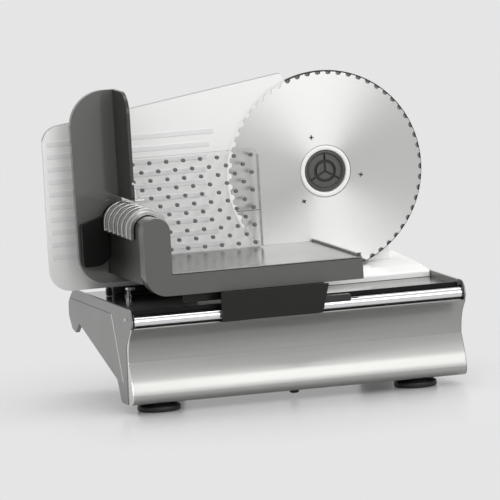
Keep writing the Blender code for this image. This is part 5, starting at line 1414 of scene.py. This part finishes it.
def hole_tree():
    """Staggered rows of round pegs: long ones cut the plate's holes, short ones fill them."""
    tree, (rows, columns, pitch_x, pitch_z, radius, left, depth, begin) = tree_for("hole_rows",
        {"Rows": 4, "Columns": 8, "Pitch X": 0.016, "Pitch Z": 0.008, "Radius": 0.002, "Left": 0.0,
        "Depth": 0.012, "First": ZERO})
    line = grow(tree, "GeometryNodeMeshLine", {"Count": rows * columns, "Offset": ZERO})
    index = Number(tree, grow(tree, "GeometryNodeInputIndex").outputs[0])
    row = ((index + 0.5) / columns).by("FLOOR")
    steps_left = index - row * columns + row.by("MODULO", 2.0) * 0.5
    first_x, first_y, first_z = parts(tree, begin)
    x = first_x - steps_left * pitch_x
    spread = grow(tree, "GeometryNodeSetPosition",
        {0: line, "Position": xyz(tree, x, first_y, first_z - row * pitch_z)})
    kept = grow(tree, "FunctionNodeCompare", {0: x, 1: left}, operation="GREATER_THAN")
    peg = grow(tree, "GeometryNodeMeshCylinder", {"Vertices": 20, "Radius": radius, "Depth": depth})
    lying = grow(tree, "GeometryNodeTransform", {0: peg, "Rotation": (math.pi / 2, 0.0, 0.0)})
    return end_tree(tree, grow(tree, "GeometryNodeInstanceOnPoints", {"Points": spread, "Selection": kept,
        "Instance": lying}), zinc)


def clear_acrylic(name, tint, haze):
    """Clear sheet: what is behind shows through it, it mirrors a little more at a slant, and its own face
    takes no part in soft light and shadow."""
    made, tree = new_material(name, tint, 0.3)
    cloud = noise(tree, grow(tree, "ShaderNodeTexCoord").outputs["Object"], 60.0, 4.0)
    slant = Number(tree, grow(tree, "ShaderNodeFresnel", {"IOR": 1.25}).outputs[0])
    rays = grow(tree, "ShaderNodeLightPath")
    light = Number(tree, rays.outputs["Is Shadow Ray"]).by("MAXIMUM", rays.outputs["Is Diffuse Ray"])
    share = (slant + between(tree, cloud, haze * 0.85, haze * 1.15)) * (1.0 - light)
    clear = grow(tree, "ShaderNodeBsdfTransparent", {"Color": (0.995, 0.995, 0.995, 1.0)})
    body = grow(tree, "ShaderNodeBsdfPrincipled", {"Base Color": tinted(tree, cloud, tint, 0.97, 1.03),
        "Roughness": 0.06})
    grow(tree, "ShaderNodeOutputMaterial",
        {0: grow(tree, "ShaderNodeMixShader", {0: share, 1: clear, 2: body})})
    return made


acrylic = clear_acrylic("clear_acrylic", (0.8, 0.8, 0.8), 0.012)
# Grey for the grip studs and the seam line, and painted shade on the plate's top edge and the walls of its
# holes.
stud_grey_and_painted_edge_shade = surface("stud_grey_and_painted_edge_shade", (0.15, 0.15, 0.15), 0.3, speck=0.06, uneven=0.1)
presser = start("presser_sheet", slab("y", rounded([(BESIDE_WALL, PRESSER_BOTTOM, 0.0),
    (PRESSER_RIGHT, PRESSER_BOTTOM, 0.001), (PRESSER_RIGHT, PRESSER_TOP, 0.005),
    (PRESSER_LEFT, PRESSER_TOP, 0.0), (PRESSER_LEFT, 0.187, 0.0), (BESIDE_WALL, 0.187, 0.0)], 8),
    PRESSER_Y, PRESSER_Y + PRESSER_SHEET))
soften(presser, 0.0003, 2, 50.0)
join(presser,
    block((PRESSER_LEFT - 0.0015, PRESSER_LEFT + 0.0005), (0.075, PRESSER_Y + 0.001),
        (0.1905, PRESSER_TOP - 0.001)),
    block((PRESSER_RIGHT - 0.002, PRESSER_RIGHT - 0.0002), (PRESSER_Y - 0.006, PRESSER_Y + 0.001),
        (PRESSER_BOTTOM + 0.001, PRESSER_TOP - 0.005)))
HOLES = hole_tree()
for name, rows, top, left in (("upper", 4, 0.2155, PRESSER_LEFT), ("lower", 7, 0.1827, BESIDE_WALL)):
    field = {"Rows": rows, "Columns": 8, "Pitch X": 0.0163, "Pitch Z": 0.0082, "Left": left + 0.0039}
    cut_by_tree(presser, HOLES, {**field, "Radius": 0.0019, "First": (0.1649, PRESSER_Y + 0.001, top)})
    studs = run_tree("grip_studs_" + name, HOLES, {**field, "Radius": 0.00175, "Depth": 0.0027,
        "First": (0.1649, PRESSER_Y + 0.0011, top)})
    soften(studs, 0.0005, 3, 50.0)
    fit(studs, "pusher", stud_grey_and_painted_edge_shade, "clear_plastic", smooth=50.0)
make("presser_seam", block((PRESSER_RIGHT - 0.023, PRESSER_RIGHT - 0.0004),
    (PRESSER_Y - 0.0002, PRESSER_Y + 0.0004), (0.1632, 0.164)), (0.0001, 2, 50.0), "pusher", stud_grey_and_painted_edge_shade,
    "clear_plastic")
fit(presser, "pusher", acrylic, "clear_plastic", "presser_plate")


def dark_on_presser(middle, normal):
    """The plate's top edge and the walls of its holes, where grey is painted as shade."""
    inner = BESIDE_WALL + 0.001 < middle.x < PRESSER_RIGHT - 0.0022 and PRESSER_BOTTOM + 0.001 < middle.z
    top_edge = middle.z > PRESSER_TOP - 0.0005 and normal.z > 0.5
    return top_edge or inner and middle.z < PRESSER_TOP - 0.001 and abs(normal.y) < 0.3


paint(presser, stud_grey_and_painted_edge_shade, dark_on_presser)

make("presser_bracket", slab("y", [(0.0341, 0.1985), (0.0355, 0.1985), (0.0355, 0.1896), (0.0431, 0.1896),
    (0.0431, 0.188), (0.0341, 0.188)], 0.0601, 0.0679), (0.0003, 2, 50.0), "pusher", zinc, "zinc",
    "presser_clip")
add_screw("presser_screw_head", (0.0393, 0.064, 0.1899), "+z", 0.0026, 0.0019, "pusher", "presser_screw")
